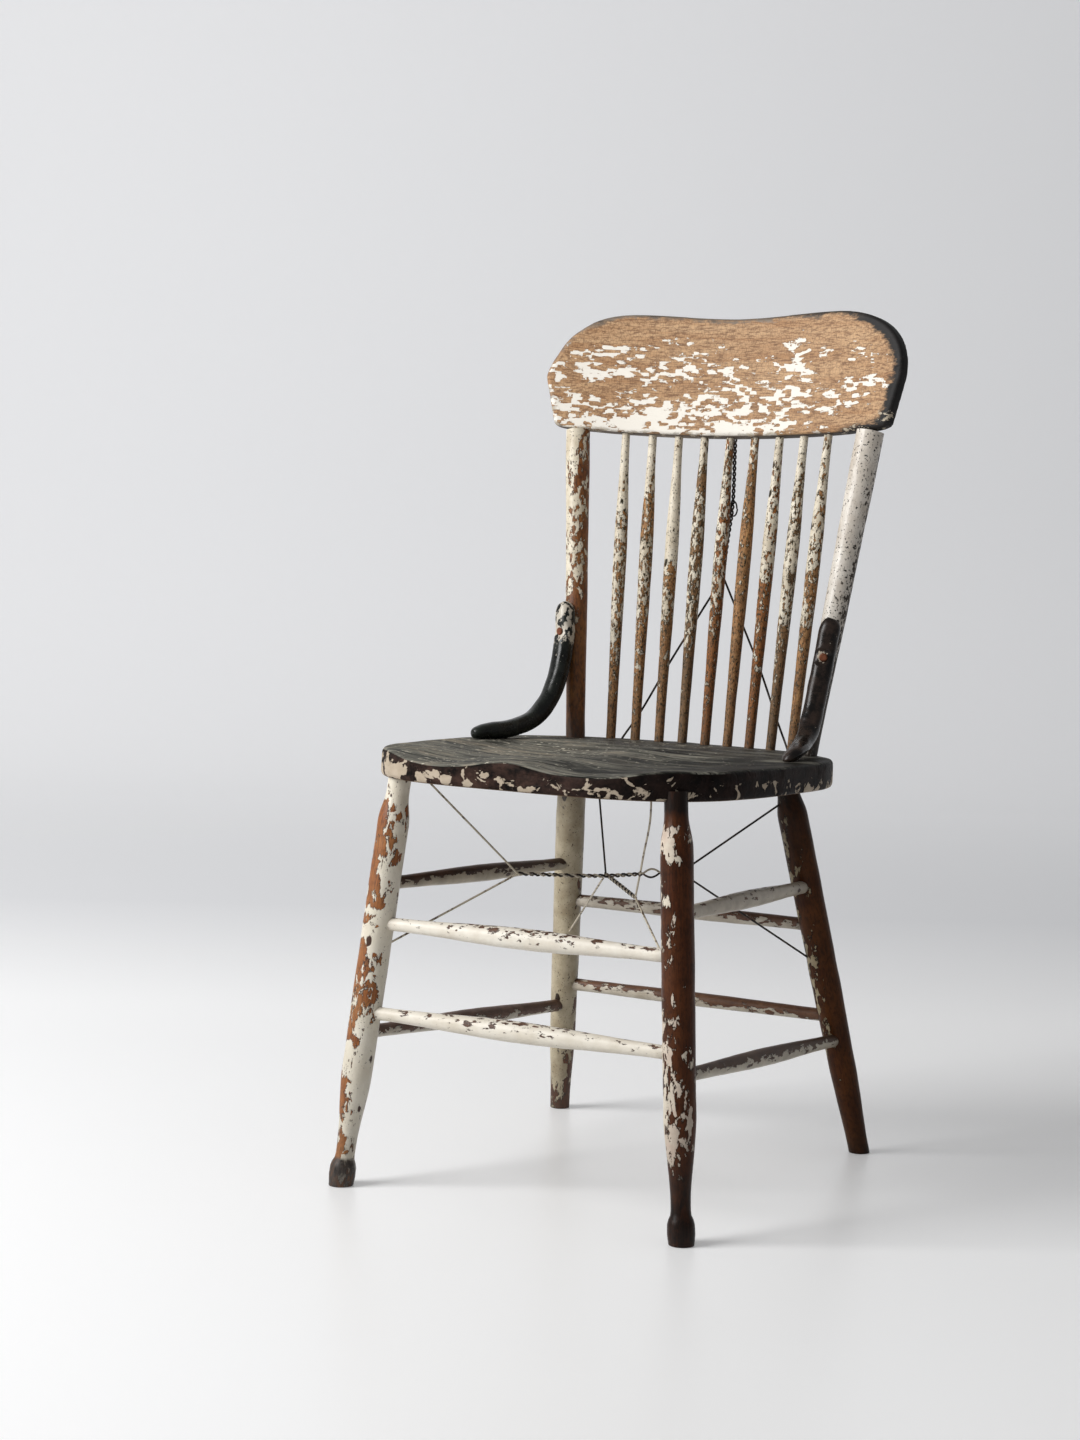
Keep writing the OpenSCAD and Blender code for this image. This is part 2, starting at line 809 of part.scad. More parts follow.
module brace_screw(side) {
    color(rust)
        at_screw(side)
            rotate_extrude($fn = turned_fn)
                polygon([
                    [0, -screw_head_h],
                    [screw_head_d / 2 - 1.2, -screw_head_h],
                    [screw_head_d / 2, -screw_head_h * 0.4],
                    [screw_head_d / 2, -lay_gap],
                    [screw_d / 2, -lay_gap],
                    [screw_d / 2, screw_len - 4],
                    [0, screw_len]
                ]);
}
module brace_screw_left() brace_screw(LEFT);
module brace_screw_right() brace_screw(RIGHT);

// ------------------------------------------------------------------ wires

module wire_truss_left() {
    color(rust) {
        wire([left_seat(), left_knot(0) + [0, 0, 1]]);
        wire([left_legs()[0], left_knot(0) - [0, 0, 1]]);
        wire([left_knot(0), lerp(left_knot(0), left_knot(1), 0.5) - [0, 0, 3], left_knot(1)], twist_d);
        wire([left_knot(1) + [0, 0, 1], left_neck()]);
        wire([left_knot(1) - [0, 0, 1], left_legs()[1]]);
    }
}

module wire_truss_right() {
    color(rust) {
        wire(concat([right_knot(0) + [0, 0, 1]], right_seat()));
        wire([right_legs()[0], right_knot(0) - [0, 0, 1]]);
        wire([right_knot(0), right_knot(1)], twist_d);
        wire([right_knot(1) + [0, 0, 1], right_back_seat()]);
        wire([right_knot(1) - [0, 0, 1], right_legs()[1]]);
    }
}

module wire_back_stay() {
    color(rust) {
        wire(stay_top, twist_d);
        wire(stay_arm);
        wire(mirror_x(stay_arm));
    }
}

// --------------------------------------------------------------- assembly

seat();
crest_rail();
post_left();
post_right();
for (i = [1:spindles])
    spindle(i);
leg_front_left();
leg_front_right();
leg_back_left();
leg_back_right();
for (r = rungs())
    color(paint) stretcher(r);
brace_left();
brace_right();
brace_screw_left();
brace_screw_right();
wire_truss_left();
wire_truss_right();
wire_back_stay();
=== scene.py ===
import math

import bpy
from mathutils import Matrix, Vector, kdtree, noise


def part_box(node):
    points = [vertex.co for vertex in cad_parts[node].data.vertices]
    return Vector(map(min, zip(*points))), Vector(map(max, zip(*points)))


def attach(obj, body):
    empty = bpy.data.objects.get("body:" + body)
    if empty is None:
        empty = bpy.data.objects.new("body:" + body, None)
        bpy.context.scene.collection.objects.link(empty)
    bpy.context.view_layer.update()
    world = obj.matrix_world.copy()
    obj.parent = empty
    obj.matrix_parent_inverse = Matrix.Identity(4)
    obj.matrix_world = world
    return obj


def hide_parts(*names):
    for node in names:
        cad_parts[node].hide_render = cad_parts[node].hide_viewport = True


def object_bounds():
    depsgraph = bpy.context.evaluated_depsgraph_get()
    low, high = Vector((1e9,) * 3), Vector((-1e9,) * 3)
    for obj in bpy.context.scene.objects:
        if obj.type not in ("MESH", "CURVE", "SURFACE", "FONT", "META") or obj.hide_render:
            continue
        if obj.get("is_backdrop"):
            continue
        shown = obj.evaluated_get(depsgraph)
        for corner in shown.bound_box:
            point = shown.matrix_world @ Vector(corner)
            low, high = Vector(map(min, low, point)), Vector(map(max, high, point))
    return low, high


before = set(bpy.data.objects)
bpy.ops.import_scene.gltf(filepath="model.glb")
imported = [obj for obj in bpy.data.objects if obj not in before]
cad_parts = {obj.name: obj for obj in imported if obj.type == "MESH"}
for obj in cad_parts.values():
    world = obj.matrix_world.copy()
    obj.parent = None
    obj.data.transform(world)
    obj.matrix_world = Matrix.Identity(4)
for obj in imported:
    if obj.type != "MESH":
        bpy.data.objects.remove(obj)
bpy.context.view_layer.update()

# ---------------------------------------------------------------- camera
# A standing view from the sitter's front left, a little above the seat, with
# the slight tilt of a camera held by hand.
EYE = Vector((1.3005, -2.4850, 0.691))
TURN = math.radians(29.63)
LOOK_DOWN = math.radians(4.18)
ROLL = math.radians(1.47)
LENS = 65.0

forward = Vector((
    -math.sin(TURN) * math.cos(LOOK_DOWN),
    math.cos(TURN) * math.cos(LOOK_DOWN),
    -math.sin(LOOK_DOWN),
))
level = Vector((math.cos(TURN), math.sin(TURN), 0))
upward = level.cross(forward)
right = level * math.cos(ROLL) + upward * math.sin(ROLL)
top = upward * math.cos(ROLL) - level * math.sin(ROLL)

bpy.ops.object.camera_add()
camera = bpy.context.object
camera.data.sensor_width = 36
camera.data.lens = LENS
camera.matrix_world = Matrix.Translation(EYE) @ Matrix((right, top, -forward)).transposed().to_4x4()
bpy.context.scene.camera = camera

# ------------------------------------------------------------------ seat
# One thick plank of soft wood, sawn to a rounded square and hollowed by hand
# for the sitter. Black-green paint on top is rubbed through along the grain,
# and the dark coat on the edge has chipped down to an older cream one.
SEAT_TOP = 0.452
SEAT_THICK = 0.030
SEAT_HALF_W = 0.214
SEAT_MID_Y = 0.021
SEAT_FRONT = 0.276
SEAT_BACK = 0.180
FRONT_SQUARE = 3.6
BACK_SQUARE = 2.5
EDGE_ROUND = 0.005
DISH_R, DISH_X, DISH_Y, DISH_DEPTH = 0.700, 0.080, -0.050, 0.009
DIP_R, DIP_X, DIP_FADE, DIP_DEPTH = 0.260, 0.086, 0.200, 0.009
SEAT_RAKE = 0.0185
SEAT_LEAN = 0.0063
SEAT_LIFT = 0.0023
SEAT_SLIP = 0.008
HOLLOW_JOIN = 0.004
BRUSH_RIDGE = 0.0007
SAW_WAVER = 0.0035
SHARP_FROM = math.radians(38)


def paint(hex_code):
    """An sRGB hex colour as the linear colour that a shader takes."""
    parts = [int(hex_code[i:i + 2], 16) / 255 for i in (1, 3, 5)]
    return [c / 12.92 if c < 0.04045 else ((c + 0.055) / 1.055) ** 2.4 for c in parts] + [1]


def feed(tree, node, feeds):
    """Gives each input of a node a value or a link."""
    for socket, value in feeds.items():
        if isinstance(value, bpy.types.NodeSocket):
            tree.links.new(value, node.inputs[socket])
        else:
            node.inputs[socket].default_value = value


def add(tree, kind, feeds=None, **settings):
    """Adds a node with its settings, and feeds its inputs."""
    made = tree.nodes.new(kind)
    for name, value in settings.items():
        setattr(made, name, value)
    feed(tree, made, feeds or {})
    return made


def deselect():
    bpy.ops.object.select_all(action="DESELECT")


def only(piece):
    """Makes a piece the one selected and active object."""
    deselect()
    piece.select_set(True)
    bpy.context.view_layer.objects.active = piece


def settle(piece, name):
    """Names a finished piece, smooths its shading and lets it ride on the chair."""
    only(piece)
    piece.name = name
    piece.data.name = name
    bpy.ops.object.shade_smooth_by_angle(angle=SHARP_FROM)
    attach(piece, "root")


def start_material(name):
    """A new material with its node tree, its shader and its object coordinates."""
    finish = bpy.data.materials.new(name)
    finish.use_nodes = True
    tree = finish.node_tree
    shader = tree.nodes["Principled BSDF"]
    place = add(tree, "ShaderNodeTexCoord").outputs["Object"]
    return finish, tree, shader, place


def round_edges(piece, width, segments):
    """Rounds a board's square edges."""
    rounding = piece.modifiers.new("edge", "BEVEL")
    rounding.width = width
    rounding.segments = segments
    rounding.limit_method = "ANGLE"
    rounding.angle_limit = math.radians(60)


def even_out(piece, face, passes):
    """Rebuilds a piece from small even faces, and softens its corners."""
    remesh = piece.modifiers.new("even faces", "REMESH")
    remesh.mode = "VOXEL"
    remesh.voxel_size = face
    soften = piece.modifiers.new("soften", "SMOOTH")
    soften.iterations = passes


def apply_modifiers(piece):
    """Makes the modifiers of the active piece part of its mesh."""
    for modifier in list(piece.modifiers):
        bpy.ops.object.modifier_apply(modifier=modifier.name)


def soft_min(a, b):
    """The lower of two heights, with a round join."""
    h = max(HOLLOW_JOIN - abs(a - b), 0) / HOLLOW_JOIN
    return min(a, b) - h * h * HOLLOW_JOIN / 4


def seat_height(x, y):
    """Height of the hollowed top at a place on the seat."""
    z = SEAT_TOP
    for side in (-1, 1):
        flat = (x - side * DISH_X) ** 2 + (y - DISH_Y) ** 2
        dish = SEAT_TOP + DISH_R - DISH_DEPTH - math.sqrt(max(DISH_R ** 2 - flat, 0))
        z = soft_min(z, dish)
        fade = (y - (SEAT_MID_Y - SEAT_FRONT)) / DIP_FADE
        dip = SEAT_TOP - DIP_DEPTH * (1 - fade) + DIP_R
        dip -= math.sqrt(max(DIP_R ** 2 - (x - side * DIP_X) ** 2, 0))
        z = soft_min(z, dip)
    return z


def seat_edge(angle):
    """A point of the seat's outline, seen from above."""
    back = math.sin(angle) >= 0
    square = BACK_SQUARE if back else FRONT_SQUARE
    depth = SEAT_BACK if back else SEAT_FRONT
    c, s = math.cos(angle), math.sin(angle)
    x = SEAT_HALF_W * math.copysign(abs(c) ** (2 / square), c)
    y = SEAT_MID_Y + depth * math.copysign(abs(s) ** (2 / square), s)
    return x, y


deselect()
bpy.ops.mesh.primitive_cylinder_add(
    vertices=128, radius=1, depth=SEAT_THICK, end_fill_type="NGON",
    location=(0, 0, SEAT_TOP - SEAT_THICK / 2),
)
seat = bpy.context.object
bpy.ops.object.transform_apply(location=True)
for v in seat.data.vertices:
    v.co.x, v.co.y = seat_edge(math.atan2(v.co.y, v.co.x))
round_edges(seat, width=EDGE_ROUND, segments=5)
even_out(seat, face=0.0023, passes=2)
apply_modifiers(seat)
for v in seat.data.vertices:
    sunk = SEAT_TOP - seat_height(v.co.x, v.co.y)
    share = max(0, min(1, (v.co.z - (SEAT_TOP - SEAT_THICK)) / SEAT_THICK))
    v.co.z -= sunk * share ** 2
    # Ridges of old brushwork on top, and an edge sawn a little unevenly.
    v.co.z += BRUSH_RIDGE * share * noise.noise(v.co * 22)
    v.co += Vector((v.co.x, v.co.y - SEAT_MID_Y, 0)) * SAW_WAVER * noise.noise(v.co * 38)
    # The plank has warped: it leans back and down to the sitter's left.
    v.co.z += SEAT_LIFT - SEAT_RAKE * (v.co.y - SEAT_MID_Y) - SEAT_LEAN * v.co.x
    v.co.x -= SEAT_SLIP
settle(seat, "seat_plank")
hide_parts("seat")

# Flat black-green oil paint, rubbed thin along the grain from side to side so
# that brown and grey wood and the pale filler of the pores show through.
finish, tree, shader, place = start_material("worn_black_green_oil_paint")
spot = add(tree, "ShaderNodeSeparateXYZ", {0: place})
# Wood grain, about 3 mm apart and 70 mm long.
grain_space = add(tree, "ShaderNodeMapping", {"Vector": place, "Scale": (13, 300, 160)}).outputs[0]
grain = add(tree, "ShaderNodeTexNoise", {
    "Vector": grain_space, "Scale": 1.0, "Detail": 6, "Roughness": 0.66, "Distortion": 0.4,
}).outputs[0]
# Rubbed patches, about 20 mm by 80 mm.
streak_space = add(tree, "ShaderNodeMapping", {"Vector": place, "Scale": (10, 36, 30)}).outputs[0]
streak = add(tree, "ShaderNodeTexNoise", {
    "Vector": streak_space, "Scale": 1.0, "Detail": 10, "Roughness": 0.72, "Distortion": 0.5,
}).outputs[0]
cloud = add(tree, "ShaderNodeTexNoise", {
    "Vector": place, "Scale": 11.0, "Detail": 5, "Roughness": 0.6,
}).outputs[0]
# The top is greyed, bared and flecked more towards the left than towards the right.
paler_to_left = add(tree, "ShaderNodeMapRange", {
    0: spot.outputs[0], 1: -0.05, 2: 0.20, 3: 0.045, 4: -0.10,
}).outputs[0]
rub = add(tree, "ShaderNodeMath", {0: streak, 1: paler_to_left}, operation="ADD").outputs[0]
rub = add(tree, "ShaderNodeMath", {0: grain, 1: 0.35, 2: rub}, operation="MULTIPLY_ADD").outputs[0]
greyed = add(tree, "ShaderNodeMapRange", {0: rub, 1: 0.60, 2: 0.73}).outputs[0]
bared = add(tree, "ShaderNodeMapRange", {0: rub, 1: 0.76, 2: 0.81}).outputs[0]
base = add(tree, "ShaderNodeMix", {
    0: cloud, 6: paint("#0a0a08"), 7: paint("#1e1f19"),
}, data_type="RGBA").outputs[2]
grey = add(tree, "ShaderNodeMix", {
    0: grain, 6: paint("#1f211b"), 7: paint("#a5a296"),
}, data_type="RGBA").outputs[2]
top_colour = add(tree, "ShaderNodeMix", {0: greyed, 6: base, 7: grey}, data_type="RGBA").outputs[2]
top_colour = add(tree, "ShaderNodeMix", {
    0: bared, 6: top_colour, 7: paint("#938b7c"),
}, data_type="RGBA").outputs[2]
# Brown wood shows towards the back, where the sitter's weight comes.
back_space = add(tree, "ShaderNodeMath", {0: spot.outputs[1], 1: cloud}, operation="ADD").outputs[0]
browned = add(tree, "ShaderNodeMapRange", {0: back_space, 1: 0.50, 2: 0.72, 3: 0.0, 4: 0.5}).outputs[0]
top_colour = add(tree, "ShaderNodeMix", {
    0: browned, 6: top_colour, 7: paint("#2b1e15"),
}, data_type="RGBA").outputs[2]
# Flecks of ivory, 2 to 6 mm across, left in the grain.
fleck_space = add(tree, "ShaderNodeMapping", {"Vector": place, "Scale": (110, 190, 150)}).outputs[0]
fleck_noise = add(tree, "ShaderNodeTexNoise", {
    "Vector": fleck_space, "Scale": 1.0, "Detail": 5, "Roughness": 0.6,
}).outputs[0]
fleck_noise = add(tree, "ShaderNodeMath", {
    0: paler_to_left, 1: 0.6, 2: fleck_noise,
}, operation="MULTIPLY_ADD").outputs[0]
fleck = add(tree, "ShaderNodeMapRange", {0: fleck_noise, 1: 0.64, 2: 0.655}).outputs[0]
top_colour = add(tree, "ShaderNodeMix", {
    0: fleck, 6: top_colour, 7: paint("#cbc4b2"),
}, data_type="RGBA").outputs[2]
# Dark scratches run with the grain.
scratch_space = add(tree, "ShaderNodeMapping", {
    "Vector": place, "Scale": (7, 210, 90), "Location": (3, 1, 2),
}).outputs[0]
scratch_noise = add(tree, "ShaderNodeTexNoise", {
    "Vector": scratch_space, "Scale": 1.0, "Detail": 3, "Roughness": 0.5, "Distortion": 0.8,
}).outputs[0]
scratch = add(tree, "ShaderNodeMapRange", {
    0: scratch_noise, 1: 0.58, 2: 0.63, 3: 0.0, 4: 0.9,
}).outputs[0]
top_colour = add(tree, "ShaderNodeMix", {
    0: scratch, 6: top_colour, 7: paint("#0f0d0b"),
}, data_type="RGBA").outputs[2]

# The edge keeps a purple-brown coat under the black, with chips down to an
# older cream coat, thickest along its lower half and round the left corner.
normal = add(tree, "ShaderNodeNewGeometry").outputs["Normal"]
up = add(tree, "ShaderNodeSeparateXYZ", {0: normal}).outputs[2]
ragged = add(tree, "ShaderNodeMath", {0: streak, 1: 0.5, 2: up}, operation="MULTIPLY_ADD").outputs[0]
flat = add(tree, "ShaderNodeMapRange", {0: ragged, 1: 0.80, 2: 1.0}).outputs[0]
edge_space = add(tree, "ShaderNodeMapping", {"Vector": place, "Scale": (60, 60, 72)}).outputs[0]
chip_noise = add(tree, "ShaderNodeTexNoise", {
    "Vector": edge_space, "Scale": 1.0, "Detail": 6, "Roughness": 0.58, "Distortion": 0.5,
}).outputs[0]
rim_line = add(tree, "ShaderNodeMath", {
    0: spot.outputs[1], 1: SEAT_RAKE, 2: spot.outputs[2],
}, operation="MULTIPLY_ADD").outputs[0]
low_band = add(tree, "ShaderNodeMapRange", {
    0: rim_line, 1: SEAT_TOP - 0.001, 2: SEAT_TOP - 0.013, 3: -0.16, 4: 0.015,
}).outputs[0]
left_more = add(tree, "ShaderNodeMapRange", {
    0: spot.outputs[0], 1: -0.12, 2: -0.20, 3: 0.0, 4: 0.10,
}).outputs[0]
group_noise = add(tree, "ShaderNodeTexNoise", {"Vector": place, "Scale": 13.0, "Detail": 2}).outputs[0]
groups = add(tree, "ShaderNodeMapRange", {
    0: group_noise, 1: 0.35, 2: 0.65, 3: -0.06, 4: 0.085,
}).outputs[0]
chips = add(tree, "ShaderNodeMath", {0: chip_noise, 1: low_band}, operation="ADD").outputs[0]
chips = add(tree, "ShaderNodeMath", {0: chips, 1: left_more}, operation="ADD").outputs[0]
chips = add(tree, "ShaderNodeMath", {0: chips, 1: groups}, operation="ADD").outputs[0]
chip = add(tree, "ShaderNodeMapRange", {0: chips, 1: 0.573, 2: 0.583}).outputs[0]
purple_noise = add(tree, "ShaderNodeTexNoise", {
    "Vector": edge_space, "Scale": 0.7, "Detail": 8, "Roughness": 0.7,
}).outputs[0]
purple = add(tree, "ShaderNodeMapRange", {0: purple_noise, 1: 0.40, 2: 0.66}).outputs[0]
# Painted shade: the purple-brown coat fades into the black towards the right-hand end of the edge, away
# from the window.
right_painted_shade = add(tree, "ShaderNodeMapRange", {
    0: spot.outputs[0], 1: 0.02, 2: 0.14, 3: 1.0, 4: 0.3,
}).outputs[0]
purple = add(tree, "ShaderNodeMath", {0: purple, 1: right_painted_shade}, operation="MULTIPLY").outputs[0]
edge_colour = add(tree, "ShaderNodeMix", {
    0: purple, 6: paint("#0c0807"), 7: paint("#47342d"),
}, data_type="RGBA").outputs[2]
chip_colour = add(tree, "ShaderNodeMix", {
    0: purple_noise, 6: paint("#8f7f6a"), 7: paint("#cbbdab"),
}, data_type="RGBA").outputs[2]
edge_colour = add(tree, "ShaderNodeMix", {
    0: chip, 6: edge_colour, 7: chip_colour,
}, data_type="RGBA").outputs[2]
colour = add(tree, "ShaderNodeMix", {
    0: flat, 6: edge_colour, 7: top_colour,
}, data_type="RGBA").outputs[2]
# The underside was planed and never painted: plain wood, brown with age.
below = add(tree, "ShaderNodeMapRange", {0: up, 1: -0.75, 2: -0.92}).outputs[0]
bare_wood = add(tree, "ShaderNodeMix", {
    0: grain, 6: paint("#4a3626"), 7: paint("#7d6349"),
}, data_type="RGBA").outputs[2]
colour = add(tree, "ShaderNodeMix", {0: below, 6: colour, 7: bare_wood}, data_type="RGBA").outputs[2]
relief = add(tree, "ShaderNodeMath", {0: grain, 1: 0.5, 2: chip}, operation="MULTIPLY_ADD").outputs[0]
relief = add(tree, "ShaderNodeMath", {
    0: purple_noise, 1: 1.2, 2: relief,
}, operation="MULTIPLY_ADD").outputs[0]
relief = add(tree, "ShaderNodeMath", {
    0: scratch, 1: -0.8, 2: relief,
}, operation="MULTIPLY_ADD").outputs[0]
bump = add(tree, "ShaderNodeBump", {"Strength": 0.7, "Distance": 0.0009, "Height": relief}).outputs[0]
gloss = add(tree, "ShaderNodeMapRange", {0: greyed, 3: 0.5, 4: 0.75}).outputs[0]
feed(tree, shader, {
    "Base Color": colour, "Normal": bump, "Roughness": gloss, "Specular IOR Level": 0.08,
})
seat.data.materials.append(finish)

# ------------------------------------------------------------------ legs
# Four maple legs turned between centres, let into the seat's underside. The
# front pair end in bulb feet. Ivory paint over a red-brown varnish has come
# off in flakes, most of all where shoes and the floor rub.
LEG_D = 0.033
NECK_D = 0.024
SHOULDER_DROP = 0.040
ANKLE_D = 0.020
FOOT_D = 0.028
FOOT_H = 0.026
BACK_FOOT_D = 0.023
SHIN_Z = 0.110
CALF_Z = 0.210
LEG_SOCKET = 0.016
# Each leg is turned this much too long, and the floor cuts it off aslant.
FLOOR_CUT = 0.008


def axis_of(node):
    """Centres of the two ends of a turned piece, lower end or left end first."""
    points = [v.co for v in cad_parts[node].data.vertices]
    low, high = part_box(node)
    spread = high - low
    k = max(range(3), key=lambda i: spread[i])
    ends = []
    for limit in (low[k], high[k]):
        far = [p for p in points if abs(p[k] - limit) < 0.0005]
        ends.append(far)
    guess = [sum(far, Vector()) / len(far) for far in ends]
    way = (guess[1] - guess[0]).normalized()
    result = []
    for sign in (-1, 1):
        reach = max(sign * p.dot(way) for p in points)
        far = [p for p in points if sign * p.dot(way) > reach - 0.0008]
        corners = [[f(p[i] for p in far) for i in range(3)] for f in (min, max)]
        result.append(Vector((corners[0][i] + corners[1][i]) / 2 for i in range(3)))
    return result


def lay(low, high, side):
    """Matrix from a piece's own frame, z along it from low and x towards side."""
    z = (high - low).normalized()
    x = (side - z * side.dot(z)).normalized()
    y = z.cross(x)
    return Matrix.Translation(low) @ Matrix((x, y, z)).transposed().to_4x4()


def swing(keys, z):
    """Diameter at z between [height, diameter] stations joined by cosines."""
    for (z0, d0), (z1, d1) in zip(keys, keys[1:]):
        if z <= z1:
            t = max(0, min(1, (z - z0) / (z1 - z0)))
            return d0 + (d1 - d0) * (1 - math.cos(math.pi * t)) / 2
    return keys[-1][1]


def select_edges(piece, wanted):
    """Opens the active piece for editing with only the wanted edges selected."""
    bpy.ops.object.mode_set(mode="EDIT")
    bpy.ops.mesh.select_mode(type="EDGE")
    bpy.ops.mesh.select_all(action="DESELECT")
    bpy.ops.object.mode_set(mode="OBJECT")
    for e in piece.data.edges:
        e.select = wanted(*(piece.data.vertices[i].co for i in e.vertices))
    bpy.ops.object.mode_set(mode="EDIT")


def turn_on_lathe(keys, seed, rings=90, sides=36, waver=0.00025):
    """A round bar along +Z whose diameter follows the keys, slightly uneven."""
    start, length = keys[0][0], keys[-1][0] - keys[0][0]
    deselect()
    bpy.ops.mesh.primitive_cylinder_add(
        vertices=sides, radius=1, depth=length, end_fill_type="NGON",
        location=(0, 0, start + length / 2),
    )
    bar = bpy.context.object
    bpy.ops.object.transform_apply(location=True)
    select_edges(bar, lambda a, b: abs(a.z - b.z) > length / 2)
    bpy.ops.mesh.subdivide(number_cuts=rings)
    bpy.ops.object.mode_set(mode="OBJECT")
    for v in bar.data.vertices:
        r = swing(keys, v.co.z) / 2
        rough = noise.noise(Vector((v.co.x * 0.8, v.co.y * 0.8, v.co.z * 45 + seed)))
        r += waver * rough
        v.co.x *= r
        v.co.y *= r
    return bar


def painted_turning(name, matrix, length, look):
    """Old brush paint over varnished wood on one turned piece.

    cover lists how much paint is left at shares of the length. side gives the
    angle about the axis where more of it is left, and how much more. The stops
    for darkening work like cover, by shares of the length: dirt towards the ends,
    and near the tops of the legs painted shade under the seat.
    """
    finish, tree, shader, place = start_material(name)
    back = matrix.inverted()
    local = add(tree, "ShaderNodeMapping", {
        "Vector": place,
        "Location": back.to_translation(),
        "Rotation": back.to_euler(),
    }).outputs[0]
    spot = add(tree, "ShaderNodeSeparateXYZ", {0: local})
    share = add(tree, "ShaderNodeMath", {0: spot.outputs[2], 1: length}, operation="DIVIDE").outputs[0]
    seed = look["seed"]
    moved = add(tree, "ShaderNodeVectorMath", {
        0: local, 1: (seed * 1.7, seed * 0.9, seed * 2.3),
    }, operation="ADD").outputs[0]

    levels = []
    for stops in (look["cover"], look.get("grime_and_shade", [(0, 0), (1, 0)])):
        ramp = add(tree, "ShaderNodeValToRGB", {0: share})
        for i, (at, amount) in enumerate(stops):
            stop = ramp.color_ramp.elements[i] if i < 2 else ramp.color_ramp.elements.new(at)
            stop.position = at
            stop.color = (amount, amount, amount, 1)
        levels.append(ramp.outputs[0])
    cover, grime_and_shade = levels

    # Flakes of about the given size, a little longer along the grain.
    flake = look.get("flake", 0.010)
    flake_space = add(tree, "ShaderNodeMapping", {
        "Vector": moved, "Scale": (1 / flake, 1 / flake, 0.5 / flake),
    }).outputs[0]
    torn = add(tree, "ShaderNodeTexNoise", {
        "Vector": flake_space, "Scale": 0.8, "Detail": 8, "Roughness": 0.68, "Distortion": 0.3,
    }).outputs[0]
    wobble = add(tree, "ShaderNodeTexNoise", {
        "Vector": flake_space, "Scale": 2.2, "Detail": 5, "Roughness": 0.65,
    }).outputs[1]
    bent = add(tree, "ShaderNodeMix", {
        0: 0.32, 4: flake_space, 5: wobble,
    }, data_type="VECTOR").outputs[1]
    cells = add(tree, "ShaderNodeTexVoronoi", {"Vector": bent, "Scale": 2.4}).outputs["Color"]
    cell = add(tree, "ShaderNodeSeparateXYZ", {0: cells}).outputs[0]
    angle, more = look.get("side", (0, 0))
    pull = 2 * more / look["width"]
    across = add(tree, "ShaderNodeVectorMath", {
        0: local,
        1: (math.cos(math.radians(angle)) * pull, math.sin(math.radians(angle)) * pull, 0),
    }, operation="DOT_PRODUCT").outputs["Value"]
    mixed = add(tree, "ShaderNodeMath", {0: cell, 1: 0.22, 2: torn}, operation="MULTIPLY_ADD").outputs[0]
    held = add(tree, "ShaderNodeMath", {
        0: cover, 1: 0.72, 2: mixed,
    }, operation="MULTIPLY_ADD").outputs[0]
    held = add(tree, "ShaderNodeMath", {0: held, 1: across}, operation="ADD").outputs[0]
    coat = add(tree, "ShaderNodeMapRange", {0: held, 1: 0.965, 2: 0.975}).outputs[0]
    rim = look.get("rim", 0.03)
    under = add(tree, "ShaderNodeMapRange", {0: held, 1: 0.965 - rim, 2: 0.975 - rim}).outputs[0]

    # Long wood grain about 1.5 mm apart, with dirt in its pores.
    fine, coarse = look.get("grain", (700, 40))
    grain_space = add(tree, "ShaderNodeMapping", {
        "Vector": moved, "Scale": (fine, fine, coarse),
    }).outputs[0]
    grain = add(tree, "ShaderNodeTexNoise", {
        "Vector": grain_space, "Scale": 1.0, "Detail": 5, "Roughness": 0.65,
    }).outputs[0]
    cloud = add(tree, "ShaderNodeTexNoise", {
        "Vector": moved, "Scale": 34.0, "Detail": 5, "Roughness": 0.65,
    }).outputs[0]
    grain_sharp = add(tree, "ShaderNodeMapRange", {0: grain, 1: 0.35, 2: 0.62}).outputs[0]
    cloud_sharp = add(tree, "ShaderNodeMapRange", {0: cloud, 1: 0.36, 2: 0.64}).outputs[0]
    wood = add(tree, "ShaderNodeMix", {
        0: grain_sharp, 6: paint(look["wood"][0]), 7: paint(look["wood"][1]),
    }, data_type="RGBA").outputs[2]
    stain = add(tree, "ShaderNodeMath", {0: cloud_sharp, 1: 0.7}, operation="MULTIPLY").outputs[0]
    wood = add(tree, "ShaderNodeMix", {
        0: stain, 6: wood, 7: paint(look["wood"][2]),
    }, data_type="RGBA").outputs[2]
    fine, coarse = look.get("pore", (430, 170))
    pore_space = add(tree, "ShaderNodeMapping", {
        "Vector": moved, "Scale": (fine, fine, coarse),
    }).outputs[0]
    pore_noise = add(tree, "ShaderNodeTexNoise", {
        "Vector": pore_space, "Scale": 1.0, "Detail": 4, "Roughness": 0.6,
    }).outputs[0]
    pore = add(tree, "ShaderNodeMapRange", {
        0: pore_noise, 1: 0.50, 2: 0.62, 3: 0.0, 4: look.get("pores", 0.4),
    }).outputs[0]
    wood = add(tree, "ShaderNodeMix", {
        0: pore, 6: wood, 7: paint(look["under"]),
    }, data_type="RGBA").outputs[2]
    stained = add(tree, "ShaderNodeMix", {
        0: under, 6: wood, 7: paint(look["under"]),
    }, data_type="RGBA").outputs[2]

    ivory = add(tree, "ShaderNodeMix", {
        0: cloud_sharp, 6: paint(look["coat"][0]), 7: paint(look["coat"][1]),
    }, data_type="RGBA").outputs[2]
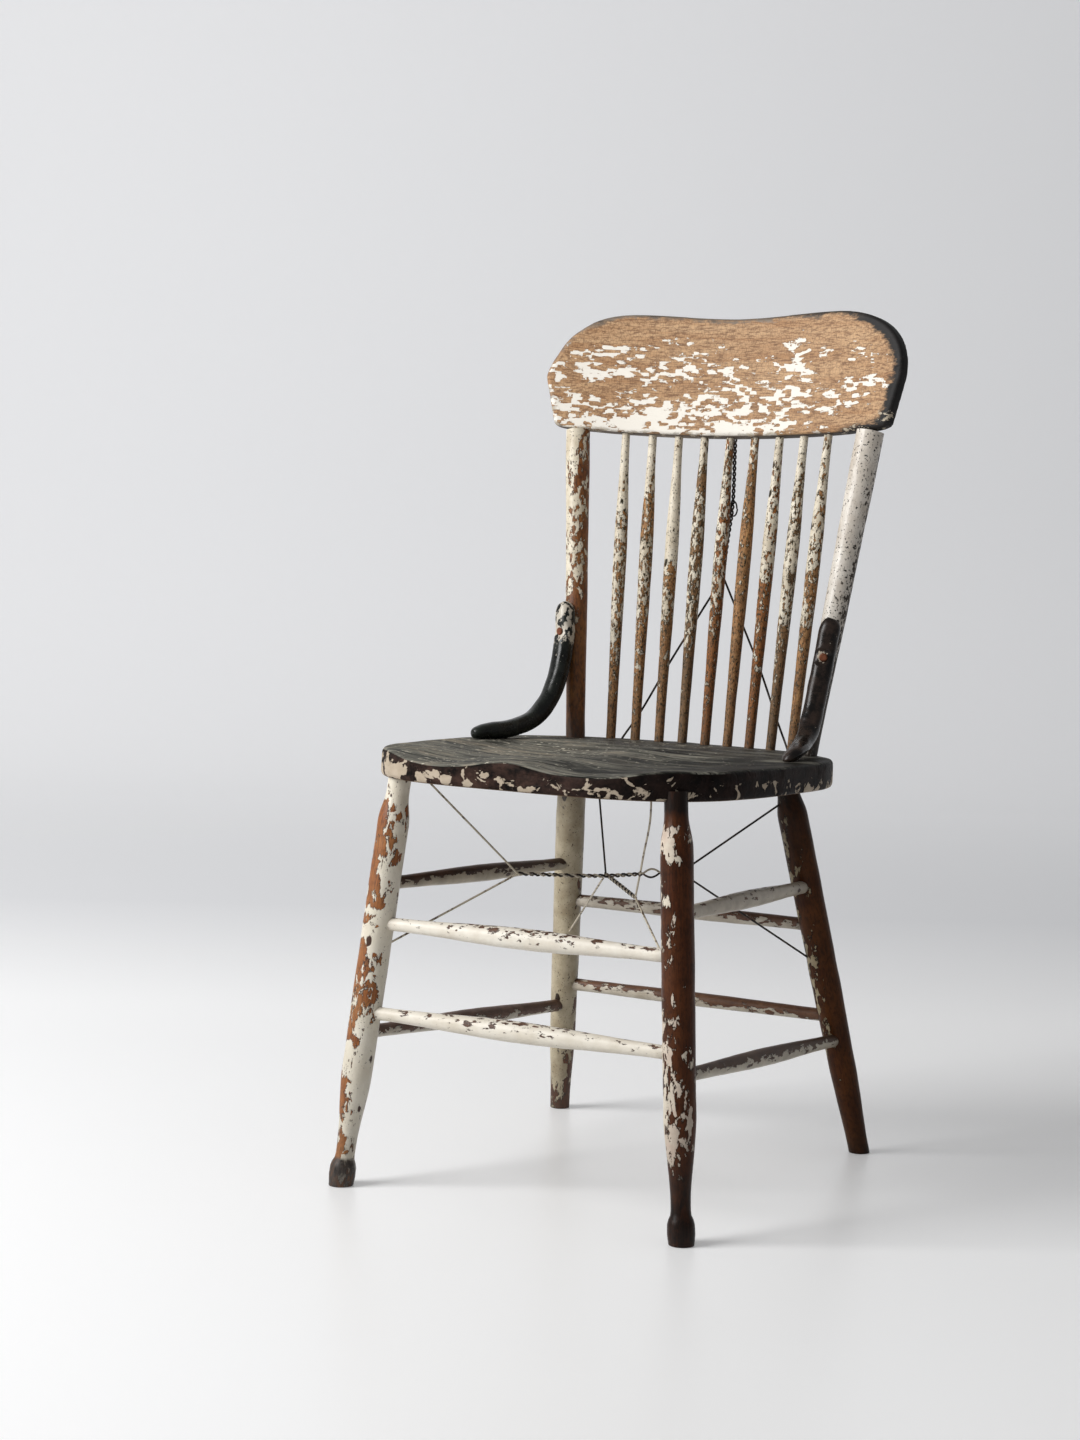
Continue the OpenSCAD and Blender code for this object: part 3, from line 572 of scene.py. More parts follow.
    # Single chips, 2 to 5 mm across, each in its own cell of the pattern.
    chip_space = add(tree, "ShaderNodeMapping", {
        "Vector": moved, "Scale": (130, 130, 75),
    }).outputs[0]
    chip_bend = add(tree, "ShaderNodeTexNoise", {
        "Vector": chip_space, "Scale": 1.6, "Detail": 4, "Roughness": 0.6,
    }).outputs[1]
    chip_space = add(tree, "ShaderNodeMix", {
        0: 0.35, 4: chip_space, 5: chip_bend,
    }, data_type="VECTOR").outputs[1]
    chips = add(tree, "ShaderNodeTexVoronoi", {"Vector": chip_space, "Scale": 1.0})
    chosen = add(tree, "ShaderNodeSeparateXYZ", {0: chips.outputs["Color"]}).outputs[0]
    size = add(tree, "ShaderNodeMapRange", {
        0: chosen, 1: 1 - look.get("chips", 0.2), 2: 1.0, 3: 0.0, 4: 0.36,
    }).outputs[0]
    chip = add(tree, "ShaderNodeMath", {
        0: size, 1: chips.outputs["Distance"],
    }, operation="SUBTRACT").outputs[0]
    chip = add(tree, "ShaderNodeMapRange", {0: chip, 1: 0.0, 2: 0.05}).outputs[0]
    # Pinholes and specks of dirt, 1 to 2 mm across, in the paint.
    speck_noise = add(tree, "ShaderNodeTexNoise", {
        "Vector": moved, "Scale": 1 / look.get("speck", 0.0024), "Detail": 3, "Roughness": 0.55,
    }).outputs[0]
    speck_level = 0.76 - look.get("specks", 0.4) * 0.16
    speck = add(tree, "ShaderNodeMapRange", {
        0: speck_noise, 1: speck_level, 2: speck_level + 0.025,
    }).outputs[0]
    hole = add(tree, "ShaderNodeMath", {0: chip, 1: speck}, operation="MAXIMUM").outputs[0]
    ivory = add(tree, "ShaderNodeMix", {
        0: hole, 6: ivory, 7: paint(look["under"]),
    }, data_type="RGBA").outputs[2]
    colour = add(tree, "ShaderNodeMix", {0: coat, 6: stained, 7: ivory}, data_type="RGBA").outputs[2]
    # Dirt darkens where the darkening stops ask for it; near the tops of the legs this is painted shade
    # under the seat.
    dirt_and_shade = add(tree, "ShaderNodeMath", {0: torn, 1: 1.9}, operation="MULTIPLY").outputs[0]
    dirt_and_shade = add(tree, "ShaderNodeMath", {
        0: dirt_and_shade, 1: grime_and_shade,
    }, operation="MULTIPLY", use_clamp=True).outputs[0]
    dirt_and_shade_colour = add(tree, "ShaderNodeMix", {
        0: grain_sharp, 6: paint(look.get("dirt_and_shade", "#1b1512")), 7: paint(look.get("dust_and_shade", "#3d342c")),
    }, data_type="RGBA").outputs[2]
    colour = add(tree, "ShaderNodeMix", {
        0: dirt_and_shade, 6: colour, 7: dirt_and_shade_colour,
    }, data_type="RGBA").outputs[2]

    whole = add(tree, "ShaderNodeMath", {
        0: coat, 1: hole,
    }, operation="SUBTRACT", use_clamp=True).outputs[0]
    relief = add(tree, "ShaderNodeMath", {
        0: grain, 1: 0.3, 2: whole,
    }, operation="MULTIPLY_ADD").outputs[0]
    relief = add(tree, "ShaderNodeMath", {
        0: torn, 1: 0.8, 2: relief,
    }, operation="MULTIPLY_ADD").outputs[0]
    bump = add(tree, "ShaderNodeBump", {
        "Strength": 0.8, "Distance": 0.0006, "Height": relief,
    }).outputs[0]
    gloss = add(tree, "ShaderNodeMapRange", {
        0: coat, 3: look.get("bare_rough", 0.5), 4: look.get("coat_rough", 0.36),
    }).outputs[0]
    feed(tree, shader, {
        "Base Color": colour, "Normal": bump, "Roughness": gloss,
        "Specular IOR Level": look.get("shine", 0.4),
    })
    return finish


# On all four, angles run anticlockwise seen from above, from 0 at the sitter's
# left hand through 90 at the back.
# The darkening near the tops of three legs, just under the seat, is painted shade; at the feet it is dirt.
LEG_LOOKS = {
    "leg_front_left": {
        "wood": ("#9a5a28", "#6e3a14", "#a8723f"), "under": "#3b2213", "coat": ("#e6dfcf", "#d9d0bd"),
        "cover": [
            (0, 0.46), (0.12, 0.50), (0.14, 0.74), (0.17, 0.74), (0.18, 0.53), (0.25, 0.52),
            (0.27, 0.76), (0.34, 0.74), (0.36, 0.62), (0.41, 0.60), (0.43, 0.53), (0.58, 0.53),
            (0.595, 0.80), (0.62, 0.80), (0.63, 0.56), (0.65, 0.56), (0.66, 0.78), (0.675, 0.58),
            (0.75, 0.56), (0.77, 0.48), (0.92, 0.50), (0.94, 0.80), (1, 0.86),
        ],
        "grime_and_shade": [(0, 1.0), (0.062, 1.0), (0.07, 0.28), (0.20, 0.16), (0.40, 0.08), (1, 0.05)],
        "side": (34, 0.14), "flake": 0.010, "seed": 1, "specks": 0.55, "chips": 0.26, "width": 0.031,
    },
    "leg_front_right": {
        "wood": ("#4d2610", "#30180b", "#60361b"), "under": "#1c0e07", "coat": ("#ddd3c1", "#cbb8a8"),
        "cover": [
            (0, 0.10), (0.12, 0.10), (0.17, 0.38), (0.22, 0.46), (0.30, 0.47), (0.38, 0.44),
            (0.44, 0.38), (0.47, 0.30), (0.60, 0.23), (0.84, 0.25), (0.87, 0.42), (0.92, 0.50),
            (0.94, 0.0), (1, 0.0),
        ],
        "grime_and_shade": [
            (0, 1.0), (0.075, 1.0), (0.14, 0.80), (0.19, 0.30), (0.36, 0.18), (0.9, 0.08),
            (0.94, 0.35), (0.96, 1.0), (1, 1.0),
        ],
        "side": (205, 0.10), "flake": 0.008, "seed": 5, "specks": 0.45, "chips": 0.25, "width": 0.031,
        "bare_rough": 0.34, "dirt_and_shade": "#110a08", "dust_and_shade": "#21150f", "shine": 0.15,
    },
    "leg_back_left": {
        "wood": ("#5f3419", "#3b1e0e", "#6f4426"), "under": "#352a1f", "coat": ("#c9bca0", "#a5967a"),
        "cover": [(0, 0.24), (0.05, 0.34), (0.12, 0.52), (0.22, 0.72), (0.5, 0.80), (1, 0.86)],
        "grime_and_shade": [(0, 0.8), (0.02, 0.3), (0.15, 0.22), (0.4, 0.18), (0.85, 0.26), (1, 0.65)],
        "side": (210, 0.12), "flake": 0.010, "seed": 9, "specks": 0.7, "chips": 0.12, "width": 0.031,
        "speck": 0.0019,
    },
    "leg_back_right": {
        "wood": ("#4c260d", "#2b1305", "#603716"), "under": "#180d07", "coat": ("#c3b598", "#a09071"),
        "cover": [
            (0, 0.0), (0.24, 0.04), (0.28, 0.20), (0.5, 0.18), (0.60, 0.22), (0.78, 0.19),
            (0.84, 0.17), (0.93, 0.15), (1, 0.10),
        ],
        "grime_and_shade": [(0, 0.95), (0.05, 0.45), (0.2, 0.22), (0.7, 0.20), (0.86, 0.55), (0.95, 0.9), (1, 0.98)],
        "side": (217, 0.18), "flake": 0.010, "seed": 13, "specks": 0.4, "chips": 0.2, "width": 0.031,
        "bare_rough": 0.40, "dirt_and_shade": "#100a07", "dust_and_shade": "#1f1610", "shine": 0.11,
    },
}

leg_axis = {}
for order, (node, look) in enumerate(LEG_LOOKS.items()):
    low, high = axis_of(node)
    # The floor cuts a leg's end aslant, so its centre comes from the whole cut.
    sole = [v.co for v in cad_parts[node].data.vertices if v.co.z < 0.0004]
    low = Vector((
        (min(p.x for p in sole) + max(p.x for p in sole)) / 2,
        (min(p.y for p in sole) + max(p.y for p in sole)) / 2,
        0,
    ))
    leg_axis[node] = (low, high)
    reach = (high - low).length
    under_seat = reach - LEG_SOCKET
    if "front" in node:
        keys = [
            (-FLOOR_CUT, FOOT_D - 0.003), (0, FOOT_D - 0.002), (FOOT_H * 0.4, FOOT_D),
            (FOOT_H * 0.75, FOOT_D - 0.0005), (FOOT_H + 0.005, ANKLE_D),
            (FOOT_H + 0.012, ANKLE_D), (SHIN_Z + 0.015, LEG_D - 0.0006), (CALF_Z, LEG_D),
        ]
    else:
        keys = [
            (-FLOOR_CUT, BACK_FOOT_D - 0.0006), (0.004, BACK_FOOT_D),
            (SHIN_Z, LEG_D - 0.003), (CALF_Z, LEG_D - 0.001),
        ]
    keys += [
        (under_seat - SHOULDER_DROP - 0.050, LEG_D), (under_seat - SHOULDER_DROP, LEG_D),
        (under_seat - 0.007, NECK_D), (reach, NECK_D),
    ]
    leg = turn_on_lathe(keys, order * 7, rings=98, waver=0.0004)
    place_leg = lay(low, high, Vector((1, 0, 0)))
    leg.data.transform(place_leg)
    only(leg)
    bpy.ops.object.mode_set(mode="EDIT")
    bpy.ops.mesh.select_all(action="SELECT")
    bpy.ops.mesh.bisect(plane_co=(0, 0, 0), plane_no=(0, 0, 1), use_fill=True, clear_inner=True)
    bpy.ops.object.mode_set(mode="OBJECT")
    settle(leg, node + "_turned")
    leg.data.materials.append(painted_turning("flaked_ivory_on_" + node, place_leg, reach, look))
    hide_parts(node)

# ------------------------------------------------------------ stretchers
# Eight turned rungs, thicker in the middle, glued into sockets in the legs.
# Shoes have worn rows of small dark chips along the front pair.
RUNG_END = 0.014
RUNG_MIDDLE = {"front": 0.022, "left": 0.019, "right": 0.019, "back": 0.016}
RUNG_SLEEVE = 0.016

RUNG_LOOKS = {
    "front_upper": {
        "cover": [(0, 0.86), (0.12, 0.72), (0.3, 0.66), (0.55, 0.66), (0.8, 0.70), (1, 0.74)],
        "side": (160, 0.10), "coat": ("#efe9dc", "#dfd6c6"), "seed": 21, "flake": 0.0055,
    },
    "front_lower": {
        "cover": [(0, 0.88), (0.15, 0.72), (0.3, 0.66), (0.55, 0.68), (0.8, 0.74), (1, 0.70)],
        "side": (160, 0.10), "coat": ("#e8e1d3", "#d8cfbe"), "seed": 23, "flake": 0.0055,
    },
    "left_upper": {
        "cover": [(0, 0.40), (0.5, 0.34), (1, 0.36)],
        "side": (150, 0.42), "coat": ("#b9ae9a", "#9a8f7d"), "seed": 25,
        "wood": ("#4a3223", "#2e1e15", "#5b4030"),
    },
    "left_lower": {
        "cover": [(0, 0.50), (0.5, 0.44), (0.8, 0.34), (1, 0.30)],
        "side": (180, 0.26), "coat": ("#c9c1b2", "#a89e8d"), "seed": 27,
    },
    "right_upper": {
        "cover": [(0, 0.72), (1, 0.74)], "side": (180, 0.08), "coat": ("#c4bbab", "#a89e8f"), "seed": 29,
        "flake": 0.007,
    },
    "right_lower": {
        "cover": [(0, 0.42), (0.5, 0.46), (1, 0.42)],
        "side": (165, 0.30), "coat": ("#c4bbaa", "#a59b8b"), "seed": 31,
        "wood": ("#4d3626", "#33231a", "#5f4632"),
    },
    "back_upper": {
        "cover": [(0, 0.64), (0.7, 0.58), (1, 0.46)],
        "side": (180, 0.14), "coat": ("#cbc3b4", "#ada394"), "seed": 33, "flake": 0.008,
    },
    "back_lower": {
        "cover": [(0, 0.56), (0.3, 0.46), (0.7, 0.40), (1, 0.30)],
        "side": (180, 0.24), "coat": ("#d0c7b7", "#b3a896"), "seed": 35,
        "wood": ("#6b4632", "#4a2f20", "#7d5940"),
    },
}

for which, look in RUNG_LOOKS.items():
    node = "stretcher_" + which
    low, high = axis_of(node)
    span = (high - low).length
    keys = [
        (0, RUNG_END), (RUNG_SLEEVE, RUNG_END), (span / 2, RUNG_MIDDLE[which.split("_")[0]]),
        (span - RUNG_SLEEVE, RUNG_END), (span, RUNG_END),
    ]
    rung = turn_on_lathe(keys, look["seed"], rings=70, sides=28)
    place_rung = lay(low, high, Vector((0, 0, 1)))
    rung.data.transform(place_rung)
    settle(rung, node + "_turned")
    look = {
        "wood": ("#66493a", "#4a3226", "#7a5d4c"), "under": "#3f2d24", "shine": 0.3,
        "flake": 0.009, "specks": 0.25, "chips": 0.18, "width": 0.018,
        "grime_and_shade": [(0, 0.5), (0.05, 0.06), (0.95, 0.06), (1, 0.5)], **look,
    }
    rung.data.materials.append(painted_turning("chipped_ivory_on_" + node, place_rung, span, look))
    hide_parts(node)

# ----------------------------------------------------------------- posts
# The two back posts swell towards the crest rail and are tenoned into it.
# The left one is half bare, the right one keeps most of its glossy ivory.
POST_LOW_D = 0.022
POST_SOCKET = 0.018
CREST_SOCKET = 0.020

POST_LOOKS = {
    "post_left": {
        "wood": ("#8b5123", "#572d0f", "#a26d38"), "under": "#33200f", "coat": ("#e8dfcb", "#cbbda4"),
        "cover": [
            (0, 0.0), (0.20, 0.14), (0.34, 0.28), (0.44, 0.38), (0.52, 0.50), (0.62, 0.46),
            (0.68, 0.50), (0.74, 0.56), (0.80, 0.50), (0.86, 0.48), (0.90, 0.60), (1, 0.62),
        ],
        "grime_and_shade": [(0, 1), (0.07, 0.65), (0.12, 0.22), (0.30, 0.12), (0.48, 0.06), (1, 0.03)],
        "side": (200, 0.12), "flake": 0.0065, "seed": 41, "specks": 0.75, "chips": 0.15, "width": 0.026,
        "grain": (420, 160), "pores": 0.5, "top": 0.028,
    },
    "post_right": {
        "wood": ("#3b2f1f", "#221a12", "#4c3b28"), "under": "#1d1f18", "coat": ("#ebe4d9", "#cec3b5"),
        "cover": [(0, 0.40), (0.25, 0.50), (0.4, 0.59), (0.55, 0.66), (0.75, 0.74), (1, 0.84)],
        "grime_and_shade": [(0, 0.95), (0.15, 0.6), (0.35, 0.22), (1, 0.05)],
        "side": (225, 0.20), "flake": 0.0034, "seed": 45, "specks": 0.85, "chips": 0.08, "width": 0.028,
        "coat_rough": 0.26, "top": 0.0305,
    },
}
for node, look in POST_LOOKS.items():
    low, high = axis_of(node)
    length = (high - low).length
    reach = length - POST_SOCKET - CREST_SOCKET
    swell = look["top"] - POST_LOW_D
    keys = [
        (0, POST_LOW_D), (POST_SOCKET + 0.012, POST_LOW_D),
        (POST_SOCKET + reach * 0.55, POST_LOW_D + swell * 0.62),
        (POST_SOCKET + reach * 0.94, look["top"]), (POST_SOCKET + reach + 0.002, look["top"]),
    ]
    post = turn_on_lathe(keys, look["seed"], waver=0.0003)
    place_post = lay(low, high, Vector((1, 0, 0)))
    post.data.transform(place_post)
    settle(post, node + "_turned")
    post.data.materials.append(painted_turning("half_bare_" + node, place_post, length, look))
    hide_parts(node)

# -------------------------------------------------------------- spindles
# Nine slim spindles with a swelling above the middle. Backs and hands have
# rubbed their lower halves down to tan wood, greyed where they meet the seat.
SPINDLE_LOW_D = 0.011
SPINDLE_MID_D = 0.0155
SPINDLE_TOP_D = 0.0095
SPINDLE_SOCKET = 0.014

TAN = ("#c89a68", "#946134", "#7f5e3e")
RUSSET = ("#b3733c", "#7a461f", "#86603c")
GREYED = ("#ad875c", "#785434", "#6a543d")
# How much cream is left on each, at shares of its height, and its bare wood.
SPINDLE_LOOKS = [
    ([(0, 0), (0.12, 0.26), (0.30, 0.38), (0.34, 0.48), (0.70, 0.53), (0.76, 0.66), (1, 0.76)], TAN),
    ([(0, 0), (0.12, 0.26), (0.40, 0.36), (0.44, 0.47), (0.62, 0.50), (0.65, 0.36), (0.75, 0.34),
      (0.79, 0.62), (1, 0.70)], TAN),
    ([(0, 0), (0.12, 0.24), (0.36, 0.30), (0.41, 0.50), (0.47, 0.50), (0.50, 0.34), (0.54, 0.38),
      (0.58, 0.66), (1, 0.80)], TAN),
    ([(0, 0), (0.12, 0.22), (0.30, 0.32), (0.34, 0.45), (0.78, 0.46), (0.81, 0.26), (0.84, 0.28),
      (0.87, 0.62), (1, 0.66)], GREYED),
    ([(0, 0), (0.12, 0.26), (0.44, 0.37), (0.50, 0.45), (0.90, 0.52), (1, 0.56)], RUSSET),
    ([(0, 0), (0.12, 0.20), (0.80, 0.28), (0.85, 0.34), (0.88, 0.48), (1, 0.50)], TAN),
    ([(0, 0), (0.12, 0.26), (0.50, 0.36), (0.56, 0.54), (0.80, 0.56), (1, 0.66)], RUSSET),
    ([(0, 0), (0.12, 0.24), (0.38, 0.36), (0.42, 0.52), (0.80, 0.54), (0.92, 0.68), (1, 0.74)], GREYED),
    ([(0, 0), (0.12, 0.24), (0.36, 0.30), (0.41, 0.48), (0.47, 0.50), (0.49, 0.38), (0.54, 0.40),
      (0.58, 0.54), (1, 0.62)], TAN),
]
for i, (cover, wood) in enumerate(SPINDLE_LOOKS):
    node = "spindle_%d" % (i + 1)
    low, high = axis_of(node)
    length = (high - low).length
    reach = length - SPINDLE_SOCKET - CREST_SOCKET
    keys = [
        (0, SPINDLE_LOW_D), (SPINDLE_SOCKET + 0.002, SPINDLE_LOW_D),
        (SPINDLE_SOCKET + reach * 0.63, SPINDLE_MID_D),
        (SPINDLE_SOCKET + reach * 0.98, SPINDLE_TOP_D), (length, SPINDLE_TOP_D),
    ]
    spindle = turn_on_lathe(keys, i * 3, rings=70, sides=24)
    place_spindle = lay(low, high, Vector((1, 0, 0)))
    spindle.data.transform(place_spindle)
    settle(spindle, node + "_turned")
    look = {
        "wood": wood, "under": "#2c2717", "coat": ("#e9e0cd", "#cfc2ab"), "cover": cover,
        "grime_and_shade": [(0, 0.9), (0.06, 0.50), (0.16, 0.26), (0.4, 0.14), (0.6, 0.03), (1, 0.05)],
        "side": (215, 0.05), "flake": 0.0042, "seed": 50 + i * 1.3, "specks": 0.9, "speck": 0.002,
        "chips": 0.2, "width": 0.014, "pores": 1.0, "pore": (560, 300), "shine": 0.25,
        "grain": (450, 130), "rim": 0.05, "dirt_and_shade": "#2a211a", "dust_and_shade": "#5c4e40", "bare_rough": 0.6,
    }
    worn_paint = painted_turning("rubbed_cream_on_" + node, place_spindle, length, look)
    spindle.data.materials.append(worn_paint)
    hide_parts(node)

# ------------------------------------------------------------ crest rail
# A bent board of oak with rounded horns, bored underneath for the posts and
# spindles. Its front is bare but for flakes of white, its upper edge is black
# with handling.
CREST_Z = 0.803
CREST_Y = 0.215
CREST_W = 0.445
CREST_H = 0.142
CREST_TILT = math.radians(9)
CREST_R = 0.650
CREST_THICK = 0.022
CREST_END_THICK = 0.014
CREST_LIFT = 0.005
LEFT_RASPED = 0.007
CREST_DIP = 0.0045
CREST_R_BACK = 1 / (1 / CREST_R + 2 * (CREST_THICK - CREST_END_THICK) / (CREST_W / 2) ** 2)
# The blank is this thick while it is flat, before the bend gives its thickness.
BLANK_THICK = 0.020
RIM_STEPS = 20


def crest_outline():
    """The board's outline, seen from the front, anticlockwise from the middle below."""
    half = CREST_W / 2
    horn_x, wide_z, square = half * 0.52, CREST_H * 0.45, 2.3
    side = []
    # The lower edge lifts towards its rounded corner.
    for i in range(9):
        x = (half - 0.030) * i / 8
        side.append((x, CREST_LIFT * (x / half) ** 2))
    for i in range(5):
        a = math.pi / 2 * i / 4
        side.append((half - 0.022 + 0.009 * math.sin(a), CREST_LIFT + 0.008 - 0.008 * math.cos(a)))
    # The end swells outwards and turns over into the horn.
    for i in range(17):
        a = math.pi / 2 * i / 16
        side.append((
            horn_x + (half - horn_x) * math.cos(a) ** (2 / square),
            wide_z + (CREST_H - wide_z) * math.sin(a) ** (2 / square),
        ))
    # The upper edge dips to the middle.
    for i in range(1, 11):
        t = 1 - i / 10
        side.append((horn_x * t, CREST_H - CREST_DIP * (1 + math.cos(math.pi * t)) / 2))
    # The left shoulder was rasped flatter than the right one.
    flatter = []
    for x, z in side[1:-1]:
        slope = min(1, max(0, (z - wide_z) / 0.028)) * min(1, max(0, (CREST_H - z) / 0.018))
        flatter.append((-(x - LEFT_RASPED * slope), z))
    return side + flatter[::-1]


outline = crest_outline()
deselect()
bpy.ops.mesh.primitive_circle_add(vertices=len(outline), radius=1, fill_type="NGON")
crest = bpy.context.object
for v, (x, z) in zip(crest.data.vertices, outline):
    v.co = (x, 0, z)
thicken = crest.modifiers.new("thickness", "SOLIDIFY")
thicken.thickness = BLANK_THICK
thicken.offset = 0
round_edges(crest, width=0.0035, segments=3)
even_out(crest, face=0.0025, passes=3)
apply_modifiers(crest)
# How far each point lies from the board's outline, for the worn edges.
rim_points = kdtree.KDTree(RIM_STEPS * len(outline))
for i, (a, b) in enumerate(zip(outline, outline[1:] + outline[:1])):
    for j in range(RIM_STEPS):
        t = j / RIM_STEPS
        rim_points.insert((a[0] + (b[0] - a[0]) * t, 0, a[1] + (b[1] - a[1]) * t), i * RIM_STEPS + j)
rim_points.balance()
edge_distance = crest.data.attributes.new("edge_distance", "FLOAT", "POINT")
for v in crest.data.vertices:
    edge_distance.data[v.index].value = rim_points.find((v.co.x, 0, v.co.z))[2]
for v in crest.data.vertices:
    depth = v.co.y / BLANK_THICK + 0.5
    front_y = -(CREST_R - math.sqrt(CREST_R ** 2 - v.co.x ** 2))
    rear_y = CREST_THICK - (CREST_R_BACK - math.sqrt(CREST_R_BACK ** 2 - v.co.x ** 2))
    v.co.y = front_y + (rear_y - front_y) * depth
    # The ends are cut square to the bend.
    v.co.x *= 1 + (v.co.y - front_y) / CREST_R
    v.co.y += 0.0003 * noise.noise(Vector((v.co.x * 14, v.co.y * 10, v.co.z * 60)))
place_crest = Matrix.Translation((0, CREST_Y, CREST_Z)) @ Matrix.Rotation(-CREST_TILT, 4, "X")
crest.data.transform(place_crest)
settle(crest, "crest_board")
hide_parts("crest_rail")

# Bare weathered oak: short dark pores in rows along the board.
finish, tree, shader, place = start_material("weathered_oak_with_white_flakes")
back = place_crest.inverted()
local = add(tree, "ShaderNodeMapping", {
    "Vector": place, "Location": back.to_translation(), "Rotation": back.to_euler(),
}).outputs[0]
spot = add(tree, "ShaderNodeSeparateXYZ", {0: local})
# Growth bands about 5 mm apart that wave slowly along the board.
band_space = add(tree, "ShaderNodeMapping", {"Vector": local, "Scale": (6, 30, 95)}).outputs[0]
band = add(tree, "ShaderNodeTexNoise", {
    "Vector": band_space, "Scale": 1.0, "Detail": 6, "Roughness": 0.65, "Distortion": 0.5,
}).outputs[0]
band_sharp = add(tree, "ShaderNodeMapRange", {0: band, 1: 0.38, 2: 0.62}).outputs[0]
# Pores, 1.5 mm by 12 mm, drawn a little coarser than real ones.
pore_space = add(tree, "ShaderNodeMapping", {"Vector": local, "Scale": (85, 400, 640)}).outputs[0]
pore = add(tree, "ShaderNodeTexNoise", {
    "Vector": pore_space, "Scale": 1.0, "Detail": 4, "Roughness": 0.65,
}).outputs[0]
pores = add(tree, "ShaderNodeMapRange", {0: pore, 1: 0.47, 2: 0.60, 3: 0.0, 4: 0.75}).outputs[0]
oak = add(tree, "ShaderNodeMix", {
    0: band_sharp, 6: paint("#c9a47c"), 7: paint("#ad835b"),
}, data_type="RGBA").outputs[2]
oak = add(tree, "ShaderNodeMix", {0: pores, 6: oak, 7: paint("#6f4d33")}, data_type="RGBA").outputs[2]
# Fine weather checks, about 4 mm apart, run across the pores.
check_space = add(tree, "ShaderNodeMapping", {"Vector": local, "Scale": (260, 260, 120)}).outputs[0]
check_edge = add(tree, "ShaderNodeTexVoronoi", {
    "Vector": check_space, "Scale": 1.0,
}, feature="DISTANCE_TO_EDGE").outputs["Distance"]
check = add(tree, "ShaderNodeMapRange", {0: check_edge, 1: 0.07, 2: 0.02, 3: 0.0, 4: 0.42}).outputs[0]
oak = add(tree, "ShaderNodeMix", {0: check, 6: oak, 7: paint("#5d4029")}, data_type="RGBA").outputs[2]

# Flakes of white, 3 to 25 mm long, with straight torn ends across the grain,
# lie in streaks and run thick along the lower edge.
flake_space = add(tree, "ShaderNodeMapping", {"Vector": local, "Scale": (95, 130, 230)}).outputs[0]
torn = add(tree, "ShaderNodeTexNoise", {
    "Vector": flake_space, "Scale": 0.6, "Detail": 9, "Roughness": 0.70, "Distortion": 0.2,
}).outputs[0]
wobble = add(tree, "ShaderNodeTexNoise", {
    "Vector": flake_space, "Scale": 1.5, "Detail": 5, "Roughness": 0.7,
}).outputs[1]
bent = add(tree, "ShaderNodeMix", {0: 0.16, 4: flake_space, 5: wobble}, data_type="VECTOR").outputs[1]
cells = add(tree, "ShaderNodeTexVoronoi", {
    "Vector": bent, "Scale": 1.25, "Randomness": 0.75,
}, distance="CHEBYCHEV").outputs["Color"]
cell = add(tree, "ShaderNodeSeparateXYZ", {0: cells}).outputs[0]
group_space = add(tree, "ShaderNodeMapping", {
    "Vector": local, "Scale": (11, 11, 34), "Location": (0.4, 0, 0.9),
}).outputs[0]
group = add(tree, "ShaderNodeTexNoise", {
    "Vector": group_space, "Scale": 1.0, "Detail": 4, "Roughness": 0.55,
}).outputs[0]
low_edge = add(tree, "ShaderNodeMapRange", {
    0: spot.outputs[2], 1: 0.050, 2: 0.014, 3: 0.0, 4: 0.19,
}).outputs[0]
middle = add(tree, "ShaderNodeMapRange", {
    0: spot.outputs[0], 1: 0.03, 2: 0.15, 3: 1.0, 4: 0.0,
}).outputs[0]
low_edge = add(tree, "ShaderNodeMath", {0: low_edge, 1: middle}, operation="MULTIPLY").outputs[0]
high_edge = add(tree, "ShaderNodeMapRange", {
    0: spot.outputs[2], 1: 0.098, 2: 0.128, 3: 0.0, 4: -0.22,
}).outputs[0]
leftward = add(tree, "ShaderNodeMapRange", {
    0: spot.outputs[0], 1: -0.10, 2: -0.2, 3: 0.0, 4: -0.05,
}).outputs[0]
torn_half = add(tree, "ShaderNodeMath", {0: torn, 1: 0.5}, operation="MULTIPLY").outputs[0]
field = add(tree, "ShaderNodeMath", {
    0: group, 1: 0.95, 2: torn_half,
}, operation="MULTIPLY_ADD").outputs[0]
field = add(tree, "ShaderNodeMath", {0: cell, 1: 0.34, 2: field}, operation="MULTIPLY_ADD").outputs[0]
rightward = add(tree, "ShaderNodeMapRange", {
    0: spot.outputs[0], 1: 0.10, 2: 0.2, 3: 0.0, 4: -0.07,
}).outputs[0]
for pull in (low_edge, high_edge, leftward, rightward):
    field = add(tree, "ShaderNodeMath", {0: field, 1: pull}, operation="ADD").outputs[0]
white = add(tree, "ShaderNodeMapRange", {0: field, 1: 0.995, 2: 1.005}).outputs[0]
colour = add(tree, "ShaderNodeMix", {0: white, 6: oak, 7: paint("#f1ebe0")}, data_type="RGBA").outputs[2]

# Hands and weather have blackened the upper edge and the right-hand end, and
# left a thin dark line below. Part of that dark is painted shade: on the faces
# that turn away from the front, and most at the right-hand end, away from the
# window.
edge = add(tree, "ShaderNodeAttribute", attribute_name="edge_distance").outputs["Fac"]
high = add(tree, "ShaderNodeMapRange", {
    0: spot.outputs[2], 1: 0.075, 2: 0.115, 3: 0.0012, 4: 0.0050,
}).outputs[0]
right_end = add(tree, "ShaderNodeMapRange", {
    0: spot.outputs[0], 1: 0.13, 2: 0.205, 3: 0.0, 4: 0.0115,
}).outputs[0]
reach = add(tree, "ShaderNodeMath", {0: high, 1: right_end}, operation="ADD").outputs[0]
ragged = add(tree, "ShaderNodeMath", {0: torn, 1: -0.034, 2: edge}, operation="MULTIPLY_ADD").outputs[0]
ragged = add(tree, "ShaderNodeMath", {0: ragged, 1: 0.017}, operation="ADD").outputs[0]
